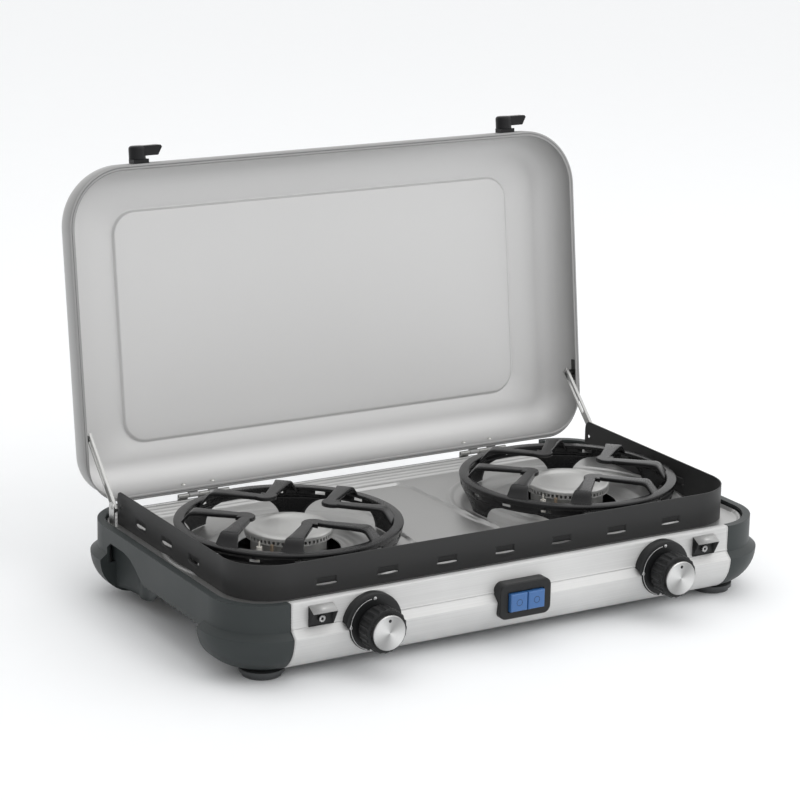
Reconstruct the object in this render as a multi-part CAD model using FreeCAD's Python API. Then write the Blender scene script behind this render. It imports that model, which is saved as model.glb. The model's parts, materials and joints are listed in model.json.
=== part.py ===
"""Two-burner camping stove with a hinged lid, drawn open.

The model is drawn with x across, y back from the front face and z upward.
place() then moves every piece so that the origin is on the ground, under the
middle of the open stove.
"""
import os

import FreeCAD, Part
from math import atan2, cos, degrees, pi, radians, sin

V = FreeCAD.Vector
X, Y, Z = V(1, 0, 0), V(0, 1, 0), V(0, 0, 1)
SIDES = (("left", -1), ("right", 1))

# ---- driving dimensions, millimetres ------------------------------------------
GAP = 0.3                   # running gap between pieces that move past each other
GROUND_Z = 6.5              # height of the ground in this drawing
REAR_Y = 334.0              # the upper front face is y = 0
BODY_HALF = 294.5           # half the width over the plastic ends
CORNER_R = 54.0             # plan radius of the body's corners
STEEL_HALF = 240.2          # half the width of the steel front
LEDGE_Z = 82.3              # top edge of the body, which the lid closes on
CREASE_TOP_Z, BELLY_Z = 56.0, 50.5
BELLY_OUT = 7.0             # how far the lower body stands out past the upper
BELLY_R = 36.5              # radius of the curve that turns under
FLOOR_Z = BELLY_Z - BELLY_R     # underside of the body
SIDE_EDGE_Z = 48.0          # lower edge of the straight side walls
BELLY_RUN = 10.0            # length of belly along the side past each corner
CAP_T, STEEL_T = 2.5, 1.0

DECK_Z, DECK_T = 76.0, 0.8
LEDGE_W = 7.6               # width of the plastic ledge round the deck
TRAY_HALF, TRAY_FRONT, TRAY_T = 240.2, 31.0, 0.8
TRAY_SIDE_Z, TRAY_REAR_Z = 71.8, 78.0   # tops of the tray's side walls and rear wall

BURNER_X, BURNER_Y = 158.1, 157.6
HOLE_R = 49.5
CAP_R, CAP_TOP_Z = 41.9, 96.2
PORTS, PORT_W = 60, 2.1
RING_R, RING_IN, RING_Z = 108.6, 97.0, 103.7
RING_T = 1.6
LEG_COUNT, LEG_TOP, LEG_FOOT = 6, 15.0, 7.0     # legs and their half angles
SKIRT_LOW_Z = 92.5
FINGERS, FINGER_W, FINGER_SPREAD = 4, 13.0, 27.0
FINGER_TIP_R, FINGER_Z = 38.0, 113.5

SCREEN_HALF, SCREEN_FRONT, SCREEN_REAR = 272.3, 26.1, 293.0
SCREEN_TOP_Z, SCREEN_R, SCREEN_T = 110.0, 45.0, 1.0
LOUVRE_W, LOUVRE_H = 21.0, 2.4

LID_HALF, LID_LENGTH = 290.0, 328.0
LID_R, LID_REAR_R = 60.0, 42.0      # plan radius of the front and rear corners
LID_RIM_Z = 82.8            # plane of the closed lid's rim
LID_INNER = 37.8            # from the rim plane to the embossed panel
LID_T, RIM_W, RIM_T = 0.8, 4.5, 1.4
LID_TURN_R = 24.0           # radius from the lid's walls to its face
EMBOSS = 2.4
OPEN_TILT = 7.1             # how far the open lid leans back past upright
OPEN_ANGLE = 90.0 + OPEN_TILT
AXIS_Y, AXIS_Z = 324.6, 82.8
LID_REAR_Y = AXIS_Y - 3.0   # rim's rear edge when closed
LID_FRONT_Y = LID_REAR_Y - LID_LENGTH
HINGE_X, HINGE_L, PIN_R = 164.0, 56.0, 1.25
KNUCKLE_R, RIVET_R = 2.3, 1.5

STRUT_X, STRUT_T, STRUT_W = 278.8, 3.0, 8.0
PIVOT_Y, PIVOT_Z, EAR_R = 286.8, 95.5, 5.5
STUD_V, STUD_W = 65.5, 8.6  # stud in the lid: along it from the rim edge, and in from the rim
STUD_R = 2.0

KNOB_X, KNOB_Z, KNOB_R = 159.6, 52.9, 21.0
KNOB_FRONT_Y = -31.0
GRIP_L, NECK_R = 14.5, 19.0      # fluted length of a knob, and the neck behind it
DISC_R, DISC_FRONT_Y = 16.5, -36.0
BEZEL_R, BOSS_R, BEZEL_Y = 29.2, 25.4, -8.8
PUSH = 3.5                  # travel of a knob pushed in to light its burner
KNOB_BACK_Y = BEZEL_Y - PUSH - 0.7     # clear of the bezel when pushed in
FLUTES = 20
PLUG_R, SPINDLE_R = 5.0, 3.0
TAP_FRONT_Y, TAP_REAR_Y = 4.0, 38.0
RAIL_Y, RAIL_Z, RAIL_R = 22.0, 33.0, 4.0
INLET_Y, INLET_Z = 232.0, 40.0
HOSE_TAIL_R = 4.5
HOSE_TAIL_L = 20.0

BUTTON_PRESS = 4.0
BUTTON_HALF, BUTTON_LOW_Z, BUTTON_HIGH_Z = 18.6, 41.8, 59.2
BUTTON_FRONT_Y = -16.0
HOUSING_HALF, HOUSING_LOW_Z, HOUSING_HIGH_Z = 28.0, 33.8, 68.4

CATCH_X, CATCH_HALF = 210.5, 12.4
CATCH_LOW_Z, CATCH_TIP_Z, CATCH_HIGH_Z, CATCH_OUT = 58.0, 72.2, 77.6, 10.2
CATCH_SCREW_Z, CATCH_LOW_OUT = 65.0, 1.2
CATCH_SCREW_IN = 3.6        # how far in front of the steel a catch screw's head begins
LATCH_X, LATCH_W = 210.5, 9.0   # pivot: across, and in from the rim plane
LATCH_V0, LATCH_V1, LATCH_V2 = 4.0, 7.0, 17.0
LATCH_REACH, LATCH_BLOCK = 24.5, 8.2
LATCH_BASE = (6.5, 9.5)     # how far a latch's foot reaches to either side of its pivot

FRONT_FOOT, REAR_FOOT = (250.0, 36.4), (236.5, 288.1)
FOOT_R, FOOT_STEP_R, FOOT_STEP_Z = 20.8, 18.0, 10.5

LID_DEPTH = LID_INNER + EMBOSS + LID_T
TILT = radians(OPEN_TILT)
AXIS_GAP = AXIS_Y - LID_REAR_Y
REAR_MOST_Y = AXIS_Y + (AXIS_GAP + LID_LENGTH - LID_TURN_R) * sin(TILT) + LID_DEPTH * cos(TILT)
MIDDLE_Y = (DISC_FRONT_Y + REAR_MOST_Y) / 2


# ---- helpers ---------------------------------------------------------------------
def box(x0, x1, y0, y1, z0, z1):
    return Part.makeBox(x1 - x0, y1 - y0, z1 - z0, V(x0, y0, z0))


def rod(r, start, axis, length):
    """A cylinder from start along axis."""
    return Part.makeCylinder(r, length, start, axis)


def pipe(r_out, r_in, start, axis, length):
    return rod(r_out, start, axis, length).cut(rod(r_in, start, axis, length))


def join(shapes):
    first, *rest = shapes
    return first.multiFuse(rest).removeSplitter() if rest else first


def plate(half, front, rear, r, z0, z1, rear_r=None):
    """An upright prism whose plan is a rounded rectangle."""
    solid = box(-half, half, front, rear, z0, z1)
    for y, radius in ((front, r), (rear, r if rear_r is None else rear_r)):
        upright = [e for e in solid.Edges if abs(e.tangentAt(e.FirstParameter).z) > 0.9
                   and abs(e.CenterOfMass.y - y) < 0.1]
        solid = solid.makeFillet(radius, upright)
    return solid


def line(a, b):
    return Part.makeLine(a, b)


def polygon(points):
    return Part.Face(Part.makePolygon(points + points[:1]))


def turned(profile, centre, angle=360.0, start=0.0):
    """Revolve (r, z) points about an upright axis at centre."""
    face = polygon([V(r, 0, z) for r, z in profile])
    face.rotate(V(0, 0, 0), Z, start)
    solid = face.revolve(V(0, 0, 0), Z, angle)
    solid.translate(V(centre[0], centre[1], 0))
    return solid


def mirrored(shape):
    """The same piece on the other side of the stove."""
    return shape.mirror(V(0, 0, 0), X)


def shaped(shape, side):
    return shape if side > 0 else mirrored(shape)


def opened(shape):
    """Swing a piece drawn on the closed lid up to the open pose."""
    out = shape.copy()
    out.rotate(V(0, AXIS_Y, AXIS_Z), X, -OPEN_ANGLE)
    return out


def place(name, shape):
    """Move a piece under the stove's own origin and write it."""
    solids = shape.Solids
    kept = solids[0].copy() if len(solids) == 1 else Part.makeCompound(solids)
    kept.translate(V(0, -MIDDLE_Y, -GROUND_Z))
    kept.exportStep(f"parts/{name}.step")


# ---- body ------------------------------------------------------------------------
def section(inset, top, map_point):
    """Half of the body's front profile, closed back to 40 mm inside."""
    r = BELLY_R - inset
    cy, cz = BELLY_R - BELLY_OUT, BELLY_Z
    middle = (cy - r * cos(pi / 4), cz - r * sin(pi / 4))
    inner = CORNER_R
    tip = [(inset, top), (inset, CREASE_TOP_Z), (inset - BELLY_OUT, BELLY_Z)]
    points = [map_point(*p) for p in tip]
    low = map_point(cy, cz - r)
    edges = [line(points[0], points[1]), line(points[1], points[2])]
    edges.append(Part.Arc(points[2], map_point(*middle), low).toShape())
    corner, back = map_point(inner, cz - r), map_point(inner, top)
    edges += [line(low, corner), line(corner, back), line(back, points[0])]
    return Part.Face(Part.Wire(edges))


def front_block(inset, half, top):
    face = section(inset, top, lambda y, z: V(-half, y, z))
    return face.extrude(V(2 * half, 0, 0))


def front_fascia():
    top = LEDGE_Z
    skin = front_block(0, STEEL_HALF, top).cut(front_block(STEEL_T, STEEL_HALF + 1, top - STEEL_T))
    skin = skin.cut(box(-300, 300, LEDGE_W, 80, CREASE_TOP_Z, 120))
    skin = skin.cut(box(-300, 300, BELLY_R - BELLY_OUT, 80, 0, 60))
    holes = [rod(SPINDLE_R + 5, V(s * KNOB_X, -20, KNOB_Z), Y, 40) for _, s in SIDES]
    holes += [rod(1.6, V(s * CATCH_X, -20, CATCH_SCREW_Z), Y, 40) for _, s in SIDES]
    window = box(-20, 20, -20, 20, BUTTON_LOW_Z - 3, BUTTON_HIGH_Z + 3)
    return skin.cut(join(holes)).cut(window)


def cap_block(inset):
    """The solid right-hand end of the body: two bellied corners and a straight side."""
    top = LEDGE_Z - (inset if inset else 0)
    axis_x = BODY_HALF - CORNER_R
    face = section(inset, top, lambda y, z: V(CORNER_R - y, 0, z))
    run = BELLY_RUN - inset
    pieces = []
    for cy, start, along in ((CORNER_R, -90, run), (REAR_Y - CORNER_R, 0, -run)):
        corner = face.copy()
        corner.rotate(V(0, 0, 0), Z, start)
        corner = corner.revolve(V(0, 0, 0), Z, 90)
        corner.translate(V(axis_x, cy, 0))
        straight = face.copy()
        straight.translate(V(axis_x, cy, 0))
        pieces += [corner, straight.extrude(V(0, along, 0))]
    low = SIDE_EDGE_Z - (1 if inset else 0)
    pieces.append(box(axis_x, BODY_HALF - inset, CORNER_R + 5, REAR_Y - CORNER_R - 5, low, top))
    return join(pieces)


def end_cap(side):
    """Dark plastic end: bellied corners, a straight side with a scalloped edge, a ledge."""
    shell = cap_block(0).cut(cap_block(CAP_T))
    inside = plate(BODY_HALF - LEDGE_W, LEDGE_W, REAR_Y - LEDGE_W, CORNER_R - LEDGE_W, 70, 90)
    shell = shell.cut(inside.cut(box(-300, 300, 0, 400, 60, LEDGE_Z - CAP_T - 1)))
    pitch, scallop_r = 8.0, 5.0
    first, last = CORNER_R + BELLY_RUN + 6, REAR_Y - CORNER_R - BELLY_RUN - 6
    count = int((last - first) / pitch)
    cuts = [
        rod(scallop_r, V(280, first + i * pitch, SIDE_EDGE_Z - scallop_r + 1.2), X, 30)
        for i in range(count)
    ]
    shell = shell.cut(Part.makeCompound(cuts))
    if side < 0:
        notch = [(176, 40), (196, 52), (207, 60), (219, 66), (232, 68.5), (262, 68.5), (269.5, 63),
                 (269.5, 40)]
        opening = polygon([V(285, y, z) for y, z in notch]).extrude(V(20, 0, 0))
        shell = shell.cut(opening)
    return shaped(shell.cut(rod(2.0, V(*FRONT_FOOT, 0), Z, 40)), side)


def rounded_tub(half, front, rear, low, high, r):
    """A box whose rear lower edge is rounded."""
    tub = box(-half, half, front, rear, low, high)
    return tub.makeFillet(r, [e for e in tub.Edges if abs(e.CenterOfMass.z - low) < 0.1
                              and abs(e.CenterOfMass.y - rear) < 0.1])


def base_tray():
    """Steel tray: floor, two low sides and a rear wall that carries the hinges."""
    t, r, rear = TRAY_T, 12.0, AXIS_Y + KNUCKLE_R + TRAY_T
    tray = rounded_tub(TRAY_HALF, TRAY_FRONT, rear, FLOOR_Z, TRAY_REAR_Z, r)
    tray = tray.cut(rounded_tub(TRAY_HALF - t, TRAY_FRONT - 1, rear - t, FLOOR_Z + t, 120, r - t))
    tray = tray.cut(box(-300, 300, 0, rear - t, TRAY_SIDE_Z, 120))
    vents = [box(s * BURNER_X - 30, s * BURNER_X + 30, BURNER_Y + k * 14 - 2, BURNER_Y + k * 14 + 2,
                 FLOOR_Z - 1, FLOOR_Z + 2) for _, s in SIDES for k in (-3, -2, 2, 3)]
    inlet = rod(7.4, V(-TRAY_HALF - 2, INLET_Y + 8, INLET_Z), X, 5)
    screws = [rod(2.0, V(s * REAR_FOOT[0], REAR_FOOT[1], 0), Z, 40) for _, s in SIDES]
    return tray.cut(Part.makeCompound(vents + screws + [inlet]))


def hob_deck():
    """Satin sheet over the tray: rim bead, dished wells and the burner holes."""
    half, front, rear = BODY_HALF - LEDGE_W - GAP, LEDGE_W + GAP, AXIS_Y + PIN_R - GAP
    r = CORNER_R - LEDGE_W - GAP
    sheet = plate(half, front, rear, r, DECK_Z - DECK_T, DECK_Z)
    bead = plate(half, front, rear, r, DECK_Z, DECK_Z + 3.0)
    bead = bead.cut(plate(half - 4, front + 4, rear - 4, r - 4, DECK_Z - 1, DECK_Z + 5))
    deck = sheet.fuse(bead)
    for _, s in SIDES:
        centre = (s * BURNER_X, BURNER_Y)
        deck = deck.cut(turned([(0, 60), (96, 60), (96, 90), (0, 90)], centre))
        t, low = DECK_T, DECK_Z - 3.0
        well = [(HOLE_R, low + 1), (54, low), (90, low), (96, DECK_Z), (96.5, DECK_Z),
                (96.5, DECK_Z - t), (90.3, low - t), (54, low - t), (HOLE_R, low + 1 - t)]
        deck = deck.fuse(turned(well, centre))
        x0, x1 = sorted((s * (STRUT_X - 5), s * (STRUT_X + 5)))
        deck = deck.cut(box(x0, x1, PIVOT_Y - EAR_R - 1, PIVOT_Y + EAR_R + 1, DECK_Z, 90))
    return deck.removeSplitter()


def foot(x, y):
    """Stepped rubber foot with a recess for its screw."""
    whole = rod(FOOT_STEP_R, V(x, y, GROUND_Z), Z, FLOOR_Z - GROUND_Z)
    whole = whole.fuse(rod(FOOT_R, V(x, y, FOOT_STEP_Z), Z, FLOOR_Z - FOOT_STEP_Z))
    recess = rod(4.5, V(x, y, GROUND_Z - 1), Z, 4.5)
    return whole.cut(recess).cut(rod(2.1, V(x, y, GROUND_Z), Z, 20))


def screw(start, axis, r_head, h_head, r, length):
    """A pan head at start, with its shank running along axis."""
    return rod(r_head, start, axis, h_head).fuse(rod(r, start, axis, length))


def case_screws():
    """Foot screws up into the end caps and the tray, and one through each lid catch."""
    head_z, tip_z = GROUND_Z + 1.1, FLOOR_Z + CAP_T + 4.5
    pieces = [screw(V(s * x, y, head_z), Z, 4.0, 2.4, 2.0, tip_z - head_z)
              for _, s in SIDES for x, y in (FRONT_FOOT, REAR_FOOT)]
    pieces += [screw(V(s * CATCH_X, -CATCH_SCREW_IN, CATCH_SCREW_Z), Y, 3.0, 1.2, 1.6, 8) for _, s in SIDES]
    return Part.makeCompound(pieces)


# ---- burners and gas -------------------------------------------------------------
def burner_pot(side):
    """Cast cup with its mixing tube running forward to the injector."""
    x, y = side * BURNER_X, BURNER_Y
    cup = turned([(0, 44), (20, 44), (20, 66), (36, 72), (36, 88.5), (30, 88.5), (30, 76),
                  (16, 70), (16, 48), (0, 48)], (x, y))
    mouth_y = TAP_REAR_Y + 14
    tube = rod(9, V(x, mouth_y, KNOB_Z), Y, y - mouth_y - 12)
    bell = Part.makeCone(13, 9, 10, V(x, mouth_y, KNOB_Z), Y)
    leg = box(x - 12, x + 12, y - 12, y + 12, FLOOR_Z + TRAY_T, 44)
    bore = rod(7, V(x, mouth_y - 1, KNOB_Z), Y, y - mouth_y)
    bore_bell = Part.makeCone(11, 7, 10, V(x, mouth_y - 0.01, KNOB_Z), Y)
    return join([cup, tube, bell, leg]).cut(bore.fuse(bore_bell))


def burner_cap(side):
    """Domed disc over a ring of flame ports."""
    x, y = side * BURNER_X, BURNER_Y
    low = 88.5
    profile = [(0, 92), (28, 92), (28, low), (CAP_R - 2, low), (CAP_R - 2, 94), (CAP_R, 94.6),
               (CAP_R, CAP_TOP_Z - 0.8), (CAP_R - 1.2, CAP_TOP_Z), (0, CAP_TOP_Z + 1.6)]
    cap = turned(profile, (x, y))
    ports = []
    for i in range(PORTS):
        port = box(25, CAP_R + 1, -PORT_W / 2, PORT_W / 2, 90.0, 93.0)
        port.rotate(V(0, 0, 0), Z, 360.0 * i / PORTS)
        ports.append(port.translated(V(x, y, 0)))
    return cap.cut(Part.makeCompound(ports))


def near_burner(side, r, angle):
    return V(side * BURNER_X + r * cos(radians(angle)), BURNER_Y + r * sin(radians(angle)), 0)


def spark_electrode(side):
    at = near_burner(side, 45.6, 205)
    body = rod(2.9, at + V(0, 0, 58), Z, 30)
    return body.fuse(rod(0.8, at + V(0, 0, 55), Z, 38))


def thermocouple(side):
    at = near_burner(side, 45.8, 222)
    return rod(1.6, at + V(0, 0, 56), Z, 36).fuse(rod(2.4, at + V(0, 0, 56), Z, 24))


def gas_tap(side):
    """Brass tap body bored for its plug, with a leg down to the gas rail."""
    x = side * KNOB_X
    body = rod(11, V(x, TAP_FRONT_Y, KNOB_Z), Y, TAP_REAR_Y - TAP_FRONT_Y)
    leg = box(x - 7, x + 7, RAIL_Y - 7, RAIL_Y + 7, RAIL_Z - 7, KNOB_Z)
    bore = rod(PLUG_R + 0.05, V(x, TAP_FRONT_Y - 1, KNOB_Z), Y, 27)
    gas_way = rod(2, V(x, TAP_FRONT_Y, KNOB_Z), Y, 40)
    seat = rod(RAIL_R, V(x - 10, RAIL_Y, RAIL_Z), X, 20)
    return body.fuse(leg).cut(bore).cut(gas_way).cut(seat)


def tap_plug(side):
    """Turning plug of the tap, bored for the spindle that slides in it."""
    x = side * KNOB_X
    plug = rod(PLUG_R, V(x, TAP_FRONT_Y, KNOB_Z), Y, 25)
    return plug.cut(rod(SPINDLE_R + 0.05, V(x, TAP_FRONT_Y - 1, KNOB_Z), Y, 20))


def spindle(side):
    x = side * KNOB_X
    return rod(SPINDLE_R, V(x, KNOB_FRONT_Y + 4, KNOB_Z), Y, 42)


def injectors():
    """Brass jets screwed into the rear of the taps."""
    pieces = []
    for _, s in SIDES:
        start = V(s * KNOB_X, TAP_REAR_Y, KNOB_Z)
        nut = rod(5, start, Y, 6).fuse(rod(3.2, start, Y, 10))
        pieces.append(nut.cut(rod(1.2, start - Y, Y, 13)))
    return Part.makeCompound(pieces)


def gas_rail():
    """Copper pipe from the inlet past both taps, with one elbow."""
    bend, side_x = 20.0, -TRAY_HALF + 14
    across = rod(RAIL_R, V(side_x + bend, RAIL_Y, RAIL_Z), X, KNOB_X + 12 - side_x - bend)
    disc = Part.Face(Part.Wire(Part.makeCircle(RAIL_R, V(side_x, RAIL_Y + bend, RAIL_Z), Y)))
    elbow = disc.revolve(V(side_x + bend, RAIL_Y + bend, RAIL_Z), Z, 90)
    along = rod(RAIL_R, V(side_x, RAIL_Y + bend, RAIL_Z), Y, INLET_Y - RAIL_Y - bend)
    return join([across, elbow, along])


def gas_inlet():
    """Brass inlet block on the tray's left wall, with a grooved hose tail facing left."""
    side_x = -TRAY_HALF + 14
    block = box(side_x - 7, side_x + 7, INLET_Y, INLET_Y + 16, RAIL_Z - 7, INLET_Z + 9)
    start = V(side_x - 7, INLET_Y + 8, INLET_Z)
    neck = rod(7, start, -X, 12)
    tail = rod(HOSE_TAIL_R, start - X * 12, -X, HOSE_TAIL_L)
    grooves = [pipe(HOSE_TAIL_R + 1, HOSE_TAIL_R - 0.5, start - X * (15 + 4 * i), -X, 1.5)
               for i in range(4)]
    body = join([block, neck, tail]).cut(Part.makeCompound(grooves))
    return body.cut(rod(2.4, start + X * 5, -X, 60))


# ---- controls --------------------------------------------------------------------
def knob_bezel(side):
    x = side * KNOB_X
    centre = V(x, BEZEL_Y, KNOB_Z)
    rim = rod(BEZEL_R, centre, Y, -BEZEL_Y).common(box(x - 40, x + 40, -10, 10, CREASE_TOP_Z, 120))
    boss = rod(BOSS_R, centre, Y, 2.5 - BEZEL_Y)
    bezel = rim.fuse(boss).cut(front_block(0, 400, 120))
    hole = rod(SPINDLE_R + 2, V(x, -30, KNOB_Z), Y, 60)
    return max(bezel.cut(hole).Solids, key=lambda s: s.Volume)


def knob(side):
    """Fluted black knob with a narrower neck behind the grip."""
    x = side * KNOB_X
    grip = rod(KNOB_R, V(x, KNOB_FRONT_Y, KNOB_Z), Y, GRIP_L)
    grip = grip.makeChamfer(1.2, [e for e in grip.Edges if abs(e.CenterOfMass.y - KNOB_FRONT_Y) < 0.1
                                  and e.Length > 50])
    flutes = []
    for i in range(FLUTES):
        a = 2 * pi * (i + 0.5) / FLUTES
        at = V(x + 23.2 * cos(a), KNOB_FRONT_Y - 1, KNOB_Z + 23.2 * sin(a))
        flutes.append(rod(3.4, at, Y, 16))
    grip = grip.cut(Part.makeCompound(flutes))
    neck = rod(NECK_R, V(x, KNOB_FRONT_Y + GRIP_L, KNOB_Z), Y, KNOB_BACK_Y - KNOB_FRONT_Y - GRIP_L)
    pocket = rod(SPINDLE_R, V(x, KNOB_FRONT_Y + 4, KNOB_Z), Y, 40)
    seat = rod(DISC_R, V(x, KNOB_FRONT_Y - 1, KNOB_Z), Y, 2.5)
    return grip.fuse(neck).cut(pocket).cut(seat)


def knob_disc(side):
    x = side * KNOB_X
    disc = rod(DISC_R, V(x, DISC_FRONT_Y, KNOB_Z), Y, KNOB_FRONT_Y + 1.5 - DISC_FRONT_Y)
    edge = [e for e in disc.Edges if abs(e.CenterOfMass.y - DISC_FRONT_Y) < 0.1 and e.Length > 50]
    mark = rod(1.3, V(x, DISC_FRONT_Y - 1, KNOB_Z + 11.5), Y, 1.6)
    return disc.makeChamfer(0.8, edge).cut(mark)


def igniter_housing():
    """Rounded frame on the middle of the front, with a window for two buttons."""
    outer = box(-HOUSING_HALF, HOUSING_HALF, -12, 3, HOUSING_LOW_Z, HOUSING_HIGH_Z)
    upright = [e for e in outer.Edges if abs(e.tangentAt(e.FirstParameter).y) > 0.9]
    outer = outer.makeFillet(7.5, upright)
    outer = outer.makeFillet(1.6, [e for e in outer.Edges if e.BoundBox.YMax < -11.9])
    frame = outer.cut(front_block(0, 400, 120))
    window = box(-BUTTON_HALF - 1, BUTTON_HALF + 1, -20, 9, BUTTON_LOW_Z - 1, BUTTON_HIGH_Z + 1)
    return frame.cut(window)


def igniter_button(side):
    x0, x1 = 0.4, BUTTON_HALF
    cap = box(x0, x1, BUTTON_FRONT_Y, 2, BUTTON_LOW_Z, BUTTON_HIGH_Z)
    front = [e for e in cap.Edges if abs(e.CenterOfMass.y - BUTTON_FRONT_Y) < 0.1]
    cap = cap.makeFillet(1.5, front)
    stem = rod(3, V((x0 + x1) / 2, 2, (BUTTON_LOW_Z + BUTTON_HIGH_Z) / 2), Y, 12)
    return shaped(cap.fuse(stem), side)


def piezo_units():
    """Two spark units behind the buttons, each bored for its button's stem."""
    pieces = []
    z = (BUTTON_LOW_Z + BUTTON_HIGH_Z) / 2
    for _, s in SIDES:
        x = s * (0.4 + BUTTON_HALF) / 2
        unit = box(x - 7.5, x + 7.5, 8, 34, z - 9, z + 9)
        pieces.append(unit.cut(rod(3.3, V(x, 0, z), Y, 18 + BUTTON_PRESS)))
    return Part.makeCompound(pieces)


def lid_catch(side):
    """Wedge on the front: a short ramp above its tip, and a long face falling back below it."""
    profile = [(0, CATCH_HIGH_Z), (-CATCH_OUT, CATCH_TIP_Z), (-CATCH_LOW_OUT, CATCH_LOW_Z), (0, CATCH_LOW_Z)]
    x = side * CATCH_X
    face = polygon([V(x - CATCH_HALF, y, z) for y, z in profile])
    wedge = face.extrude(V(2 * CATCH_HALF, 0, 0))
    recess = rod(3.2, V(x, -CATCH_SCREW_IN - 20, CATCH_SCREW_Z), Y, 20 + 1.2)
    return wedge.cut(recess).cut(rod(1.6, V(x, -20, CATCH_SCREW_Z), Y, 30))


# ---- pan supports and wind screen --------------------------------------------------
def pan_support(side):
    """Pressed ring with a skirt on six feet, and four looped fingers."""
    flange = turned([(RING_IN, RING_Z - RING_T), (RING_R, RING_Z - RING_T), (RING_R, RING_Z),
                     (RING_IN, RING_Z)], (0, 0))
    low = DECK_Z + GAP
    r_low = RING_R - 5.5
    skirt = turned([(RING_R - RING_T, RING_Z - RING_T), (RING_R, RING_Z - RING_T), (r_low, low),
                    (r_low - RING_T, low)], (0, 0))
    arches = []
    for i in range(LEG_COUNT):
        a0 = 360.0 * i / LEG_COUNT
        a1 = a0 + 360.0 / LEG_COUNT
        rim = [(a0 + LEG_FOOT, low - 1), (a0 + LEG_TOP, SKIRT_LOW_Z), (a1 - LEG_TOP, SKIRT_LOW_Z),
               (a1 - LEG_FOOT, low - 1)]
        out = [V(130 * cos(radians(a)), 130 * sin(radians(a)), z) for a, z in rim]
        mid = [V(80 * cos(radians(a)), 80 * sin(radians(a)), z) for a, z in rim]
        arches.append(Part.makeLoft([Part.makePolygon(out + out[:1]), Part.makePolygon(mid + mid[:1])],
                                    True))
    skirt = skirt.cut(Part.makeCompound(arches))
    rise = [(RING_IN + 1, RING_Z - RING_T), (RING_IN - 8, FINGER_Z - 3.2), (FINGER_TIP_R, FINGER_Z - 2.2),
            (FINGER_TIP_R, FINGER_Z), (RING_IN - 10, FINGER_Z), (RING_IN + 3, RING_Z - 0.2)]
    dome = turned(rise, (0, 0))
    fingers = []
    for i in range(FINGERS):
        fingers.append(dome.common(finger_plan(360.0 * i / FINGERS)))
    support = join([flange, skirt] + fingers)
    support.translate(V(side * BURNER_X, BURNER_Y, 0))
    return support


def finger_plan(angle):
    """Upright prism over one V-shaped finger: two legs from the ring to a tip."""
    spread = radians(FINGER_SPREAD)
    out = V((RING_IN + 4) * cos(spread), (RING_IN + 4) * sin(spread), 0)
    tip = V(FINGER_TIP_R + 5, 0, 0)
    run = (out - tip)
    across = V(-run.y, run.x, 0).normalize() * (FINGER_W / 2)
    legs = []
    for s in (1, -1):
        a, b, n = V(tip.x, s * tip.y, 90), V(out.x, s * out.y, 90), V(across.x, s * across.y, 0)
        legs.append(polygon([a + n, b + n, b - n, a - n]).extrude(Z * 40))
    legs.append(rod(FINGER_W / 2, V(tip.x, 0, 90), Z, 40))
    plan = join(legs)
    plan.rotate(V(0, 0, 0), Z, angle)
    return plan


def wind_screen():
    """U-shaped sheet round the front and sides, with a row of louvre slits."""
    long_rear = SCREEN_REAR + 100
    outer = plate(SCREEN_HALF, SCREEN_FRONT, long_rear, SCREEN_R, DECK_Z, SCREEN_TOP_Z)
    t = SCREEN_T
    inner = plate(SCREEN_HALF - t, SCREEN_FRONT + t, long_rear, SCREEN_R - t, DECK_Z - 1, 130)
    screen = outer.cut(inner).cut(box(-300, 300, SCREEN_REAR, long_rear + 1, 60, 130))
    slits = []
    for i in range(-3, 4):
        x = 63.4 * i
        slits.append(box(x - LOUVRE_W / 2, x + LOUVRE_W / 2, SCREEN_FRONT - 5, SCREEN_FRONT + 5,
                         86.8 - LOUVRE_H / 2, 86.8 + LOUVRE_H / 2))
    for i in range(3):
        y = 127.6 + 56.5 * i
        slits.append(box(-300, 300, y - LOUVRE_W / 2, y + LOUVRE_W / 2, 88.8 - LOUVRE_H / 2,
                         88.8 + LOUVRE_H / 2))
    slits.append(rod(2, V(-300, SCREEN_REAR - 7, 94), X, 600))
    return screen.cut(Part.makeCompound(slits))


# ---- lid, hinges and stays ---------------------------------------------------------
def lid_pan(inset, z0):
    """The lid's bulk: upright walls with a big radius up to a flat face."""
    half, front, rear = LID_HALF - inset, LID_FRONT_Y + inset, LID_REAR_Y - RIM_W - inset
    top = LID_RIM_Z + LID_DEPTH - inset
    pan = plate(half, front, rear, LID_R - inset, z0, top, LID_REAR_R - inset)
    rim = [e for e in pan.Edges if abs(e.BoundBox.ZMin - top) < 0.01 and abs(e.BoundBox.ZMax - top) < 0.01]
    return pan.makeFillet(LID_TURN_R - inset, rim)


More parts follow.
